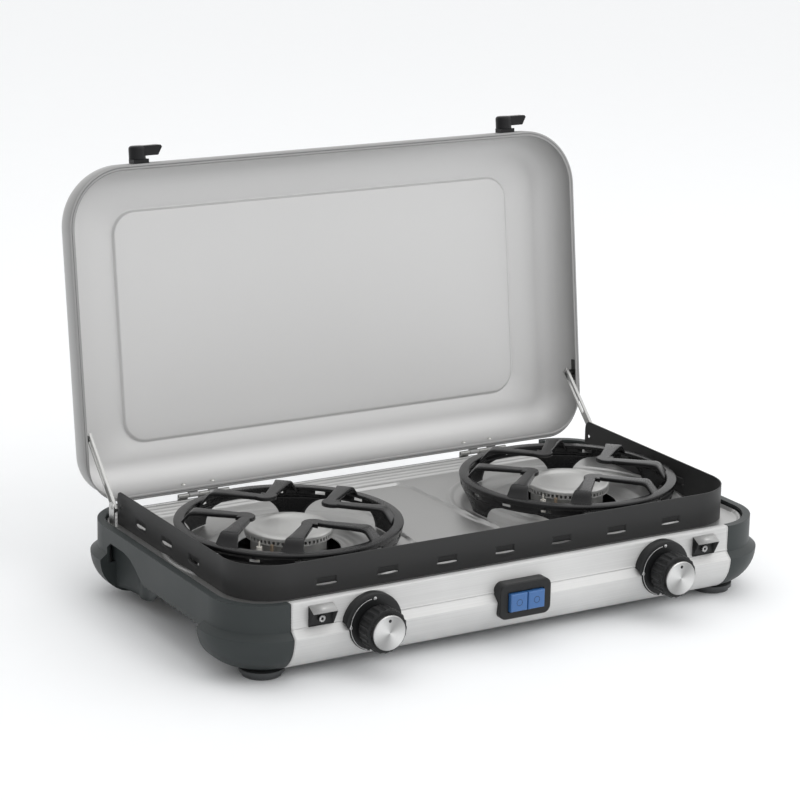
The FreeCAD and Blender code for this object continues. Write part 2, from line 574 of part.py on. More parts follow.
def lid_shell():
    """Drawn sheet pan with a rolled rim and a rounded rectangle pressed into its face."""
    pan = lid_pan(0, LID_RIM_Z)
    inner = lid_pan(LID_T, LID_RIM_Z - 1)
    y0, y1 = LID_REAR_Y - 51 - 227, LID_REAR_Y - 51
    top = LID_RIM_Z + LID_DEPTH
    dent = plate(226.7, y0, y1, 22, top - EMBOSS, top + 5)
    relief = plate(226.7 - LID_T, y0 + LID_T, y1 - LID_T, 22 - LID_T, top - 20, top - EMBOSS - LID_T)
    keep = plate(226.7 + LID_T, y0 - LID_T, y1 + LID_T, 22 + LID_T, top - EMBOSS - LID_T, top + 5)
    shell = pan.cut(dent).cut(inner.cut(keep)).cut(relief)
    rim = plate(LID_HALF, LID_FRONT_Y, LID_REAR_Y, LID_R, LID_RIM_Z, LID_RIM_Z + RIM_T, LID_REAR_R)
    inside = RIM_W + LID_T
    hole = plate(LID_HALF - inside, LID_FRONT_Y + inside, LID_REAR_Y - inside, LID_R - inside, 60, 100,
                 LID_REAR_R - inside)
    relief_y = LID_REAR_Y - 1.2
    hinge_gaps = [box(s * HINGE_X - HINGE_L / 2 - 1, s * HINGE_X + HINGE_L / 2 + 1, relief_y, 400,
                      60, LID_RIM_Z + 3) for _, s in SIDES]
    hinge_gaps += [rod(RIVET_R, at - Y * 5, Y, 10) for _, s in SIDES for at in rivet_points(s)]
    return opened(shell.fuse(rim.cut(hole)).cut(Part.makeCompound(hinge_gaps)))


def rivet_points(side):
    """Centres of the two rivets of a hinge, on the closed lid's rear wall."""
    y = LID_REAR_Y - RIM_W
    return [V(side * HINGE_X + dx, y, LID_RIM_Z + 12.5) for dx in (-16, 16)]


def hinge_parts(side):
    """Base leaf, lid leaf and pin, with the lid closed."""
    x0 = side * HINGE_X - HINGE_L / 2
    step = HINGE_L / 5
    axis = V(x0, AXIS_Y, AXIS_Z)
    base, lid = [], []
    for i in range(5):
        at = axis + X * (step * i + (GAP / 2 if i else 0))
        length = step - GAP
        (base if i % 2 == 0 else lid).append((at, length))
    base_shapes = [pipe(KNUCKLE_R, PIN_R, at, X, length) for at, length in base]
    base_shapes += [box(at.x, at.x + length, AXIS_Y + PIN_R, AXIS_Y + KNUCKLE_R, DECK_Z - 14, AXIS_Z)
                    for at, length in base]
    base_shapes.append(box(x0, x0 + HINGE_L - GAP, AXIS_Y + PIN_R, AXIS_Y + KNUCKLE_R, DECK_Z - 22,
                           DECK_Z - 1.2))
    wall_y = LID_REAR_Y - RIM_W
    lid_shapes = [pipe(KNUCKLE_R, PIN_R + 0.04, at, X, length) for at, length in lid]
    lid_shapes += [box(at.x, at.x + length, wall_y, AXIS_Y, AXIS_Z + RIM_T + 0.05, AXIS_Z + KNUCKLE_R)
                   for at, length in lid]
    lid_shapes.append(box(x0 + 3, x0 + HINGE_L - 3, wall_y, wall_y + 1, AXIS_Z + RIM_T, AXIS_Z + 17))
    pin = rod(PIN_R, axis, X, HINGE_L - GAP)
    holes = [rod(RIVET_R, V(at.x, wall_y - 5, at.z), Y, 10) for at in rivet_points(side)]
    return join(base_shapes), join(lid_shapes).cut(Part.makeCompound(holes)), pin


def lid_point(v, w):
    """A point beside the open lid: v along it from the rim's lower edge, w in from the rim."""
    edge_y = AXIS_Y + AXIS_GAP * sin(TILT)
    edge_z = AXIS_Z + AXIS_GAP * cos(TILT)
    return V(0, edge_y + v * sin(TILT) + w * cos(TILT), edge_z + v * cos(TILT) - w * sin(TILT))


def stay_numbers():
    """A stay's reach to the stud when open, its angle, its turn as the lid closes, and the
    nearest the stud comes to the pivot on the way."""
    stud = lid_point(STUD_V, STUD_W)
    pivot, axis = V(0, PIVOT_Y, PIVOT_Z), V(0, AXIS_Y, AXIS_Z)
    arm = stud - pivot
    shut = V(stud.x, stud.y, stud.z).sub(axis)
    turn = FreeCAD.Rotation(X, OPEN_ANGLE)
    shut = turn.multVec(shut).add(axis) - pivot
    start = degrees(atan2(arm.z, arm.y))
    end = degrees(atan2(shut.z, shut.y)) % 360.0
    nearest = abs((stud - axis).Length - (pivot - axis).Length)
    return arm.Length, start, end - start, nearest


def lid_stay(side):
    """Slotted channel from its pivot on the body up to the stud in the lid."""
    reach, start, _, nearest = stay_numbers()
    half, t = STRUT_W / 2, 1.0
    x0 = STRUT_X - STRUT_T / 2
    bar = box(x0, x0 + t, -half, reach + half, -half, half)
    flanges = [box(x0, x0 + STRUT_T, -half, reach + half, s * half - (t if s > 0 else 0),
                   s * half + (0 if s > 0 else t)) for s in (1, -1)]
    stay = join([bar] + flanges)
    slot_r = STUD_R + GAP
    slot = box(x0 - 1, x0 + 5, nearest, reach, -slot_r, slot_r)
    ends = [rod(slot_r, V(x0 - 1, at, 0), X, 6) for at in (nearest, reach)]
    stay = stay.cut(join([slot] + ends)).cut(rod(1.55, V(x0 - 1, 0, 0), X, 6))
    stay.rotate(V(0, 0, 0), X, start)
    stay.translate(V(0, PIVOT_Y, PIVOT_Z))
    return shaped(stay, side)


def stay_bracket(side):
    """Upright ear with a foot on the deck's edge, which carries a stay's pivot."""
    x0, x1 = STRUT_X + STRUT_T / 2 + GAP, STRUT_X + STRUT_T / 2 + GAP + 1.2
    y0, y1 = PIVOT_Y - EAR_R, PIVOT_Y + EAR_R
    ear = box(x0, x1, y0, y1, DECK_Z, PIVOT_Z).fuse(rod(EAR_R, V(x0, PIVOT_Y, PIVOT_Z), X, 1.2))
    foot_plate = box(STRUT_X - 4, x1, y0, y1, DECK_Z, DECK_Z + 1.2)
    return shaped(join([ear, foot_plate]).cut(rod(1.5, V(x0 - 1, PIVOT_Y, PIVOT_Z), X, 5)), side)


def stay_rivets():
    pieces = []
    x0 = STRUT_X - STRUT_T / 2
    for _, s in SIDES:
        at = V(x0 - 1.4, PIVOT_Y, PIVOT_Z)
        shank = rod(1.5, at, X, STRUT_T + 3.4)
        head = rod(3, at, X, 1.1)
        pieces.append(shaped(shank.fuse(head), s))
    return Part.makeCompound(pieces)


def stud_bracket(side):
    """Plate inside the lid's side wall, drawn open, that carries the stud."""
    wall = LID_HALF - LID_T
    y_mid = AXIS_Y - AXIS_GAP - STUD_V
    z = LID_RIM_Z + STUD_W
    bracket = box(wall - 1.2, wall, y_mid - 13, y_mid + 9, z - 6, z + 4.5)
    stud_x = STRUT_X + STRUT_T / 2 + GAP
    stud = rod(STUD_R + 1.2, V(stud_x, y_mid, z), X, wall - stud_x)
    return opened(shaped(bracket.fuse(stud), side))


def lid_rivets():
    """Rivets through the lid's rear wall into the hinge leaves."""
    pieces = []
    for _, s in SIDES:
        for at in rivet_points(s):
            head = at - Y * (LID_T + 1.0)
            pieces.append(rod(2.6, head, Y, 1.0).fuse(rod(RIVET_R, head, Y, LID_T + 2.6)))
    return opened(Part.makeCompound(pieces))


def latch_plates():
    """Fixed feet of the two latches on the lid's front wall."""
    front = LID_FRONT_Y
    z = LID_RIM_Z + LATCH_W
    pieces = []
    for _, s in SIDES:
        x = s * LATCH_X
        base = box(x - LATCH_BASE[0], x + LATCH_BASE[1], front - LATCH_V0, front, z - 6, z + 6)
        pivot = rod(2.5, V(x, front - LATCH_V2 + 2, z), Y, LATCH_V2 - 2)
        pieces.append(join([base, pivot]))
    return opened(Part.makeCompound(pieces))


def latch_lever(side):
    """Turning block and paddle of a latch, with the paddle to the right."""
    front = LID_FRONT_Y
    x, z = side * LATCH_X, LID_RIM_Z + LATCH_W
    y0, y1 = front - LATCH_V2, front - LATCH_V0 - GAP
    block = rod(LATCH_BLOCK, V(x, y0, z), Y, y1 - y0)
    block = block.makeFillet(3.0, [e for e in block.Edges if abs(e.CenterOfMass.y - y0) < 0.1])
    low = front - LATCH_V1
    outline = [(x, y0 + 0.4), (x + LATCH_REACH - 1.5, y0 + 0.4), (x + LATCH_REACH, y0 + 2.2),
               (x + LATCH_REACH - 4.5, low), (x, low)]
    paddle = polygon([V(px, py, z - 5.5) for px, py in outline]).extrude(Z * 11)
    lever = block.fuse(paddle)
    return opened(lever.cut(rod(2.55, V(x, y0 + 1.6, z), Y, 30)))


# ---- the whole stove ---------------------------------------------------------------
def main():
    os.makedirs("parts", exist_ok=True)
    place("base_tray", base_tray())
    place("front_fascia", front_fascia())
    place("hob_deck", hob_deck())
    place("case_screws", case_screws())
    for name, s in SIDES:
        place(f"{name}_end_cap", end_cap(s))
        place(f"{name}_front_foot", foot(s * FRONT_FOOT[0], FRONT_FOOT[1]))
        place(f"{name}_rear_foot", foot(s * REAR_FOOT[0], REAR_FOOT[1]))
        place(f"{name}_burner_pot", burner_pot(s))
        place(f"{name}_burner_cap", burner_cap(s))
        place(f"{name}_spark_electrode", spark_electrode(s))
        place(f"{name}_thermocouple", thermocouple(s))
        place(f"{name}_gas_tap", gas_tap(s))
        place(f"{name}_tap_plug", tap_plug(s))
        place(f"{name}_spindle", spindle(s))
        place(f"{name}_knob_bezel", knob_bezel(s))
        place(f"{name}_knob", knob(s))
        place(f"{name}_knob_disc", knob_disc(s))
        place(f"{name}_igniter_button", igniter_button(s))
        place(f"{name}_lid_catch", lid_catch(s))
        place(f"{name}_pan_support", pan_support(s))
        place(f"{name}_lid_stay", lid_stay(s))
        place(f"{name}_stay_bracket", stay_bracket(s))
        place(f"{name}_stud_bracket", stud_bracket(s))
        place(f"{name}_latch_lever", latch_lever(s))
    hinges = [hinge_parts(s) for _, s in SIDES]
    place("hinge_base_leaves", Part.makeCompound([h[0] for h in hinges]))
    place("hinge_lid_leaves", opened(Part.makeCompound([h[1] for h in hinges])))
    place("hinge_pins", Part.makeCompound([h[2] for h in hinges]))
    place("injectors", injectors())
    place("gas_rail", gas_rail())
    place("gas_inlet", gas_inlet())
    place("igniter_housing", igniter_housing())
    place("piezo_units", piezo_units())
    place("wind_screen", wind_screen())
    place("stay_rivets", stay_rivets())
    place("lid_shell", lid_shell())
    place("lid_rivets", lid_rivets())
    place("latch_plates", latch_plates())


main()
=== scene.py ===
"""Looks for the two-burner camping stove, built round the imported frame."""

import json
from math import cos, hypot, pi, radians, sin, sqrt

import bmesh
import bpy
from mathutils import Matrix, Vector


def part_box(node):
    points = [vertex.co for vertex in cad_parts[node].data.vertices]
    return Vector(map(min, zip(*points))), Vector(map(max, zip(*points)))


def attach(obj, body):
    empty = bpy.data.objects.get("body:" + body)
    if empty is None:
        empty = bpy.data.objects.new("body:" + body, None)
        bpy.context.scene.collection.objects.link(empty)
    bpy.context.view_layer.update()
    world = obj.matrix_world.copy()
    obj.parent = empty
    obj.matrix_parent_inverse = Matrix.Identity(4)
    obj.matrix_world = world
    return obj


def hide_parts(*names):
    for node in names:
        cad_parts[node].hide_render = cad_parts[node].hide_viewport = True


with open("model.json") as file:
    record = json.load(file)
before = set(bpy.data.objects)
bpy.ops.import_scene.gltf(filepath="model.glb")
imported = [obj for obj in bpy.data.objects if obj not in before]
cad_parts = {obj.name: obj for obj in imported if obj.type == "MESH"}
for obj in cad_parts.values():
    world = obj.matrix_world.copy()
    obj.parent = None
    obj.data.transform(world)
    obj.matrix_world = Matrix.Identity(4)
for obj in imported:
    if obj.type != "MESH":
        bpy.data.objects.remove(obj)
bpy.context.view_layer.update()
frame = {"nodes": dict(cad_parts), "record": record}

MM = 0.001
SIDES = (("left", -1), ("right", 1))

# Millimetres: x across, y back from the upper steel front, z up from GROUND below the ground.
BELLY_OUT = 7.0                         # how far the belly of the steel front stands out
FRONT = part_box("front_fascia")[0][1] / MM + BELLY_OUT
GROUND = 6.5
BURNER_X, BURNER_Y = 158.1, 157.6
KNOB_X, KNOB_Z = 159.6, 52.9
HOLE_R = 49.5                           # burner holes in the deck


def at(x, y, z):
    """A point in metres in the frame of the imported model."""
    return Vector((x, y + FRONT, z - GROUND)) * MM


# ---- materials ---------------------------------------------------------------
def surface(name, color, rough, metallic=0.0, grain=(300, 300, 300), bump=0.02, rough_range=0.06,
            shade=0.06, wear=None, coat=0.0, edge=0.5, patch=14.0, shine=0.5):
    """A painted, plated or moulded surface: grain, patchy tone, soft edges and edge wear.

    Bump and edge are in millimetres; shade is the share by which the tone varies.
    """
    mat = bpy.data.materials.new(name)
    mat.use_nodes = True
    nodes, link = mat.node_tree.nodes, mat.node_tree.links.new
    shader = nodes["Principled BSDF"]
    shader.inputs["Metallic"].default_value = metallic
    shader.inputs["Specular IOR Level"].default_value = shine
    shader.inputs["Coat Weight"].default_value = coat
    shader.inputs["Coat Roughness"].default_value = 0.2
    coords = nodes.new("ShaderNodeTexCoord")
    stretch = nodes.new("ShaderNodeMapping")
    stretch.inputs["Scale"].default_value = grain
    link(coords.outputs["Object"], stretch.inputs["Vector"])
    fine = nodes.new("ShaderNodeTexNoise")
    fine.inputs["Scale"].default_value = 1.0
    fine.inputs["Detail"].default_value = 4.0
    link(stretch.outputs["Vector"], fine.inputs["Vector"])
    broad = nodes.new("ShaderNodeTexNoise")
    broad.inputs["Scale"].default_value = patch
    broad.inputs["Detail"].default_value = 3.0
    link(coords.outputs["Object"], broad.inputs["Vector"])
    both = nodes.new("ShaderNodeMath")
    both.operation = "ADD"
    link(fine.outputs["Fac"], both.inputs[0])
    link(broad.outputs["Fac"], both.inputs[1])
    gloss = nodes.new("ShaderNodeMapRange")
    gloss.inputs["From Min"].default_value = 0.6
    gloss.inputs["From Max"].default_value = 1.4
    gloss.inputs["To Min"].default_value = max(rough - rough_range, 0.03)
    gloss.inputs["To Max"].default_value = rough + rough_range
    link(both.outputs["Value"], gloss.inputs["Value"])
    link(gloss.outputs["Result"], shader.inputs["Roughness"])
    tone = nodes.new("ShaderNodeValToRGB")
    tone.color_ramp.elements[0].position = 0.3
    tone.color_ramp.elements[0].color = [c * (1 - shade) for c in color] + [1]
    tone.color_ramp.elements[1].position = 0.7
    tone.color_ramp.elements[1].color = [min(c * (1 + shade), 1) for c in color] + [1]
    half = nodes.new("ShaderNodeMath")
    half.operation = "MULTIPLY"
    half.inputs[1].default_value = 0.5
    link(both.outputs["Value"], half.inputs[0])
    link(half.outputs["Value"], tone.inputs["Fac"])
    result = tone.outputs["Color"]
    if wear:
        geometry = nodes.new("ShaderNodeNewGeometry")
        rub = nodes.new("ShaderNodeMapRange")
        rub.inputs["From Min"].default_value = 0.54
        rub.inputs["From Max"].default_value = 0.64
        rub.inputs["To Max"].default_value = 0.45
        link(geometry.outputs["Pointiness"], rub.inputs["Value"])
        mix = nodes.new("ShaderNodeMix")
        mix.data_type = "RGBA"
        link(rub.outputs["Result"], mix.inputs["Factor"])
        link(result, mix.inputs[6])
        mix.inputs[7].default_value = list(wear) + [1]
        result = mix.outputs[2]
    link(result, shader.inputs["Base Color"])
    soft = nodes.new("ShaderNodeBevel")
    soft.samples = 4
    soft.inputs["Radius"].default_value = edge * MM
    relief = nodes.new("ShaderNodeBump")
    relief.inputs["Strength"].default_value = 1.0
    relief.inputs["Distance"].default_value = bump * MM
    link(fine.outputs["Fac"], relief.inputs["Height"])
    link(soft.outputs["Normal"], relief.inputs["Normal"])
    link(relief.outputs["Normal"], shader.inputs["Normal"])
    return mat


FINE = (900, 900, 900)
MATERIALS = {
    "tray_steel": surface("tray_paint", (0.26, 0.27, 0.28), 0.45, 0.4),
    "fascia_steel": surface("brushed_steel", (0.60, 0.60, 0.595), 0.50, 0.35, (4, 1200, 1600), 0.014,
                            0.10, 0.12, edge=0.6),
    "deck_steel": surface("deck_silver", (0.48, 0.48, 0.475), 0.38, 0.88, FINE, 0.008, 0.05, 0.04,
                          edge=0.2),
    "screw_steel": surface("zinc_plate", (0.50, 0.50, 0.48), 0.32, 0.95, FINE, 0.01),
    "hinge_steel": surface("dull_plate", (0.30, 0.30, 0.29), 0.42, 0.85, FINE, 0.01),
    "brass": surface("turned_brass", (0.70, 0.50, 0.22), 0.30, 1.0, (1600, 60, 1600), 0.006),
    "pipe_aluminium": surface("drawn_tube", (0.68, 0.68, 0.66), 0.34, 1.0, (40, 900, 900), 0.006),
    "trim_plastic": surface("trim_black", (0.012, 0.0125, 0.013), 0.42, 0.0, FINE, 0.012,
                            edge=0.6, shine=0.3),
    "piezo_plastic": surface("piezo_body", (0.45, 0.44, 0.40), 0.5, 0.0, FINE, 0.01),
    "screen_paint": surface("charcoal_paint", (0.036, 0.0362, 0.0365), 0.48, 0.0, FINE, 0.02,
                            edge=0.2, shine=0.22),
    "cap_plastic": surface("slate_plastic", (0.027, 0.033, 0.0333), 0.47, 0.0, (1400, 1400, 1400), 0.03,
                            edge=0.7, shine=0.35),
    "foot_rubber": surface("foot_rubber", (0.055, 0.058, 0.060), 0.58, 0.0, FINE, 0.05, edge=0.8),
    "burner_aluminium": surface("cast_aluminium", (0.50, 0.50, 0.49), 0.48, 0.85, FINE, 0.05),
    "cap_aluminium": surface("burner_cap_silver", (0.54, 0.54, 0.53), 0.40, 0.6, FINE, 0.03, edge=0.8),
    "white_ceramic": surface("glazed_ceramic", (0.78, 0.76, 0.70), 0.22, 0.0, FINE, 0.005, coat=0.3),
    "probe_steel": surface("heat_tinted_steel", (0.42, 0.33, 0.24), 0.36, 0.9, FINE, 0.01, shade=0.18),
    "catch_steel": surface("folded_steel", (0.42, 0.42, 0.415), 0.45, 0.5, FINE, 0.01),
    "lid_steel": surface("lid_silver", (0.63, 0.628, 0.625), 0.56, 0.42, FINE, 0.006, 0.02, 0.012,
                         edge=0.2, patch=7.0),
    "latch_steel": surface("latch_black", (0.008, 0.008, 0.009), 0.40, 0.0, FINE, 0.015,
                           edge=0.6, shine=0.25),
    "stay_steel": surface("stay_plate", (0.48, 0.48, 0.47), 0.34, 0.95, FINE, 0.01),
    "knob_plastic": surface("knob_black", (0.009, 0.0095, 0.010), 0.38, 0.0, FINE, 0.02,
                            edge=0.5, shine=0.3),
    "disc_aluminium": surface("spun_aluminium", (0.52, 0.52, 0.515), 0.30, 1.0, (900, 900, 900), 0.006),
    "button_plastic": surface("blue_button", (0.036, 0.125, 0.33), 0.38, 0.0, FINE, 0.008,
                              coat=0.2, edge=0.4),
    "support_enamel": surface("black_enamel", (0.0065, 0.0065, 0.007), 0.26, 0.0, FINE, 0.005,
                              0.04, 0.03, wear=(0.016, 0.016, 0.017), edge=0.2, shine=0.34),
    "mark_white": surface("printed_white", (0.80, 0.80, 0.80), 0.5, 0.0, FINE, 0.004),
    "mark_dark": surface("dark_dot_and_bore_shade", (0.006, 0.006, 0.007), 0.5, 0.0, FINE, 0.004),
    "ramp_steel": surface("ramp_steel", (0.58, 0.58, 0.575), 0.5, 0.2, FINE, 0.01),
    "hook_black": surface("hook_black", (0.045, 0.045, 0.045), 0.42, 0.6, FINE, 0.01),
}


def turned_grain(mat):
    """Reflections that stretch round the Y axis, as on metal turned in a lathe."""
    nodes = mat.node_tree.nodes
    shader = nodes["Principled BSDF"]
    shader.inputs["Anisotropic"].default_value = 0.75
    spin = nodes.new("ShaderNodeTangent")
    spin.direction_type = "RADIAL"
    spin.axis = "Y"
    mat.node_tree.links.new(spin.outputs["Tangent"], shader.inputs["Tangent"])


def darker_walls(mat, direction, start, depth, least):
    """Painted-on shade: a darker tone at the rim plane that fades out with depth."""
    nodes, link = mat.node_tree.nodes, mat.node_tree.links.new
    coords = nodes.new("ShaderNodeTexCoord")
    along = nodes.new("ShaderNodeVectorMath")
    along.operation = "DOT_PRODUCT"
    along.inputs[1].default_value = direction
    link(coords.outputs["Object"], along.inputs[0])
    fade = nodes.new("ShaderNodeMapRange")
    fade.inputs["From Min"].default_value = start
    fade.inputs["From Max"].default_value = start + depth
    fade.inputs["To Min"].default_value = least
    link(along.outputs["Value"], fade.inputs["Value"])
    shader = nodes["Principled BSDF"]
    tint = nodes.new("ShaderNodeVectorMath")
    tint.operation = "SCALE"
    link(shader.inputs["Base Color"].links[0].from_socket, tint.inputs[0])
    link(fade.outputs["Result"], tint.inputs["Scale"])
    link(tint.outputs["Vector"], shader.inputs["Base Color"])


SHEEN_PAIRS, SHEEN_TURN, SHEEN_RANGE = 2.0, 1.2, (0.62, 1.28)


def spun_lobes(mat):
    """Painted-on sheen: two light and two dark sectors, like the light on turned metal."""
    nodes, link = mat.node_tree.nodes, mat.node_tree.links.new
    coords = nodes.new("ShaderNodeTexCoord")
    parts = nodes.new("ShaderNodeSeparateXYZ")
    link(coords.outputs["Generated"], parts.inputs["Vector"])
    centred = []
    for axis in ("X", "Z"):
        shift = nodes.new("ShaderNodeMath")
        shift.operation = "SUBTRACT"
        shift.inputs[1].default_value = 0.5
        link(parts.outputs[axis], shift.inputs[0])
        centred.append(shift)
    angle = nodes.new("ShaderNodeMath")
    angle.operation = "ARCTAN2"
    link(centred[1].outputs["Value"], angle.inputs[0])
    link(centred[0].outputs["Value"], angle.inputs[1])
    twice = nodes.new("ShaderNodeMath")
    twice.operation = "MULTIPLY_ADD"
    twice.inputs[1].default_value = SHEEN_PAIRS
    twice.inputs[2].default_value = SHEEN_TURN
    link(angle.outputs["Value"], twice.inputs[0])
    wave = nodes.new("ShaderNodeMath")
    wave.operation = "COSINE"
    link(twice.outputs["Value"], wave.inputs[0])
    lobes = nodes.new("ShaderNodeMapRange")
    lobes.inputs["From Min"].default_value = -1.0
    lobes.inputs["To Min"].default_value, lobes.inputs["To Max"].default_value = SHEEN_RANGE
    link(wave.outputs["Value"], lobes.inputs["Value"])
    shader = nodes["Principled BSDF"]
    tint = nodes.new("ShaderNodeVectorMath")
    tint.operation = "SCALE"
    link(shader.inputs["Base Color"].links[0].from_socket, tint.inputs[0])
    link(lobes.outputs["Result"], tint.inputs["Scale"])
    link(tint.outputs["Vector"], shader.inputs["Base Color"])


# The open lid leans back by TILT; its rim plane passes AXIS_GAP from the hinge axis.
TILT = radians(7.1)
AXIS_Y, AXIS_Z, AXIS_GAP = 324.6, 82.8, 3.0
RIM_NORMAL = (0, cos(TILT), -sin(TILT))
RIM_ROLL, SHADE_DEPTH, SHADE_LEAST = 1.8, 30, 0.52
rim_start = at(0, AXIS_Y + AXIS_GAP * sin(TILT), AXIS_Z + AXIS_GAP * cos(TILT)).dot(Vector(RIM_NORMAL))
turned_grain(MATERIALS["disc_aluminium"])
spun_lobes(MATERIALS["disc_aluminium"])
darker_walls(MATERIALS["lid_steel"], RIM_NORMAL, rim_start + RIM_ROLL * MM, SHADE_DEPTH * MM, SHADE_LEAST)
# Nodes shown in another look than their own material slot.
shown_as = {"hinge_base_leaves": "hinge_steel", "hinge_lid_leaves": "lid_steel", "hinge_pins": "hook_black",
            "left_stay_bracket": "stay_steel", "right_stay_bracket": "stay_steel",
            "left_lid_catch": "trim_plastic", "right_lid_catch": "trim_plastic",
            "left_stud_bracket": "hook_black", "right_stud_bracket": "hook_black"}
slot_of = {row["node"]: row["material_slot"] for row in frame["record"]["subparts"]}
for node, cad in frame["nodes"].items():
    cad.data.materials.clear()
    cad.data.materials.append(MATERIALS[shown_as.get(node, slot_of[node])])


# ---- mesh helpers --------------------------------------------------------------
def piece(name, points, faces, body, slot, nodes=(), thick=0.0, material=None, sharp=38):
    """A smooth-shaded mesh that rides on a body and may stand for CAD nodes."""
    mesh = bpy.data.meshes.new(name)
    mesh.from_pydata([tuple(at(*p)) for p in points], [], faces)
    mesh.validate()
    mesh.materials.append(MATERIALS[material or slot])
    obj = bpy.data.objects.new(name, mesh)
    bpy.context.scene.collection.objects.link(obj)
    weld = bmesh.new()
    weld.from_mesh(mesh)
    bmesh.ops.remove_doubles(weld, verts=weld.verts, dist=1e-6)
    bmesh.ops.recalc_face_normals(weld, faces=weld.faces)
    weld.to_mesh(mesh)
    weld.free()
    if thick:
        solid = obj.modifiers.new("thickness", "SOLIDIFY")
        solid.thickness = thick * MM
        solid.offset = 0
    mesh.shade_smooth()
    mesh.set_sharp_from_angle(angle=radians(sharp))
    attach(obj, body)
    if nodes:
        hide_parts(*nodes)
    return obj


def grid_faces(rows, columns, closed=False, start=0):
    """Quads over a grid of points stored row by row."""
    faces = []
    for r in range(rows - 1):
        for c in range(columns if closed else columns - 1):
            n = (c + 1) % columns
            faces.append((start + r * columns + c, start + r * columns + n,
                          start + (r + 1) * columns + n, start + (r + 1) * columns + c))
    return faces


def ease(t):
    """Smooth step from 0 to 1."""
    t = min(max(t, 0.0), 1.0)
    return t * t * (3 - 2 * t)


def ridge(d, half):
    """A rounded ridge: 1 on its line, 0 past its half width."""
    return 0.5 + 0.5 * cos(pi * d / half) if abs(d) < half else 0.0


# ---- hob deck ------------------------------------------------------------------
DECK_Z = 76.0
DECK_HALF, DECK_FRONT, DECK_REAR, DECK_R = 286.4, 7.9, 325.4, 46.0
DISH_R = 117.0                          # raised line round each burner's dish
WELL_R, WELL_RUN, WELL_DEPTH = 96, 13, 2.4
DECK_HIGHEST = 78.9
REAR_STEPS = (292.0, 301.0, 310.0, 319.0)
# Corners of the raised line between the burners: x from the middle, and y.
CHANNEL = ((33, 277), (40, 263), (41, 230), (43, 192), (47, 108), (56, 62), (64, 44))
CHANNEL_END_Y = 279


def rounded_distance(x, y, half, front, rear, r):
    """How far a point is inside a rounded rectangle; negative outside."""
    mid = (front + rear) / 2
    dx, dy = abs(x) - (half - r), abs(y - mid) - ((rear - front) / 2 - r)
    outside = hypot(max(dx, 0), max(dy, 0))
    return r - outside - min(max(dx, dy), 0)


def segment_distance(x, y, path):
    """Distance to a line of joined segments."""
    best = 1e9
    for (x0, y0), (x1, y1) in zip(path, path[1:]):
        ux, uy = x1 - x0, y1 - y0
        t = min(max(((x - x0) * ux + (y - y0) * uy) / (ux * ux + uy * uy), 0), 1)
        best = min(best, hypot(x - x0 - t * ux, y - y0 - t * uy))
    return best


def deck_height(x, y):
    """Height of the pressed sheet: wells and rings round the burners, rim bead, raised lines."""
    z = DECK_Z
    burner = min((hypot(x - s * BURNER_X, y - BURNER_Y) for _, s in SIDES))
    z -= WELL_DEPTH * (1 - ease((burner - WELL_R) / WELL_RUN))
    z += 1.3 * ridge(burner - DISH_R, 4)
    z += 1.2 * ridge(burner - 78, 8) - 0.7 * ridge(burner - 64, 6)
    z += 1.6 * (1 - ease((burner - HOLE_R) / 8))
    inside = rounded_distance(x, y, DECK_HALF, DECK_FRONT, DECK_REAR, DECK_R)
    z += 2.8 * ridge(inside - 2.2, 3.2)
    z += 2.3 * ridge(segment_distance(abs(x), y, CHANNEL), 2.9)
    if abs(x) < CHANNEL[0][0] + 1:
        z += 2.3 * ridge(y - CHANNEL_END_Y, 2.9)
    for line_y in REAR_STEPS:
        z += 1.9 * ridge(y - line_y, 3.3) * ease((DECK_HALF - 12 - abs(x)) / 10)
    return min(z, DECK_HIGHEST)


def build_deck():
    """Fine grid over the deck, pulled onto its rounded corners and burner holes."""
    step = 1.3
    columns = int(2 * DECK_HALF / step) + 1
    rows = int((DECK_REAR - DECK_FRONT) / step) + 2
    points, keep = [], []
    for r in range(rows):
        for c in range(columns):
            x = -DECK_HALF + 2 * DECK_HALF * c / (columns - 1)
            y = DECK_FRONT + (DECK_REAR - DECK_FRONT) * r / (rows - 1)
            inside = rounded_distance(x, y, DECK_HALF, DECK_FRONT, DECK_REAR, DECK_R)
            if inside < 0:
                cx = (DECK_HALF - DECK_R) * (1 if x > 0 else -1)
                mid = (DECK_FRONT + DECK_REAR) / 2
                cy = mid + ((DECK_REAR - DECK_FRONT) / 2 - DECK_R) * (1 if y > mid else -1)
                d = hypot(x - cx, y - cy)
                if d < DECK_R + step:
                    x, y = cx + (x - cx) * DECK_R / d, cy + (y - cy) * DECK_R / d
                    inside = 0.0
            ok = inside > -0.01
            for _, s in SIDES:
                d = hypot(x - s * BURNER_X, y - BURNER_Y)
                if d < HOLE_R:
                    if d > HOLE_R - step:
                        x = s * BURNER_X + (x - s * BURNER_X) * HOLE_R / d
                        y = BURNER_Y + (y - BURNER_Y) * HOLE_R / d
                    else:
                        ok = False
            points.append((x, y, deck_height(x, y)))
            keep.append(ok)
    faces = [f for f in grid_faces(rows, columns) if all(keep[i] for i in f)]
    used = sorted({i for f in faces for i in f})
    index = {old: new for new, old in enumerate(used)}
    piece("deck_sheet", [points[i] for i in used], [tuple(index[i] for i in f) for f in faces],
          "base", "deck_steel", ("hob_deck",), thick=0.8)


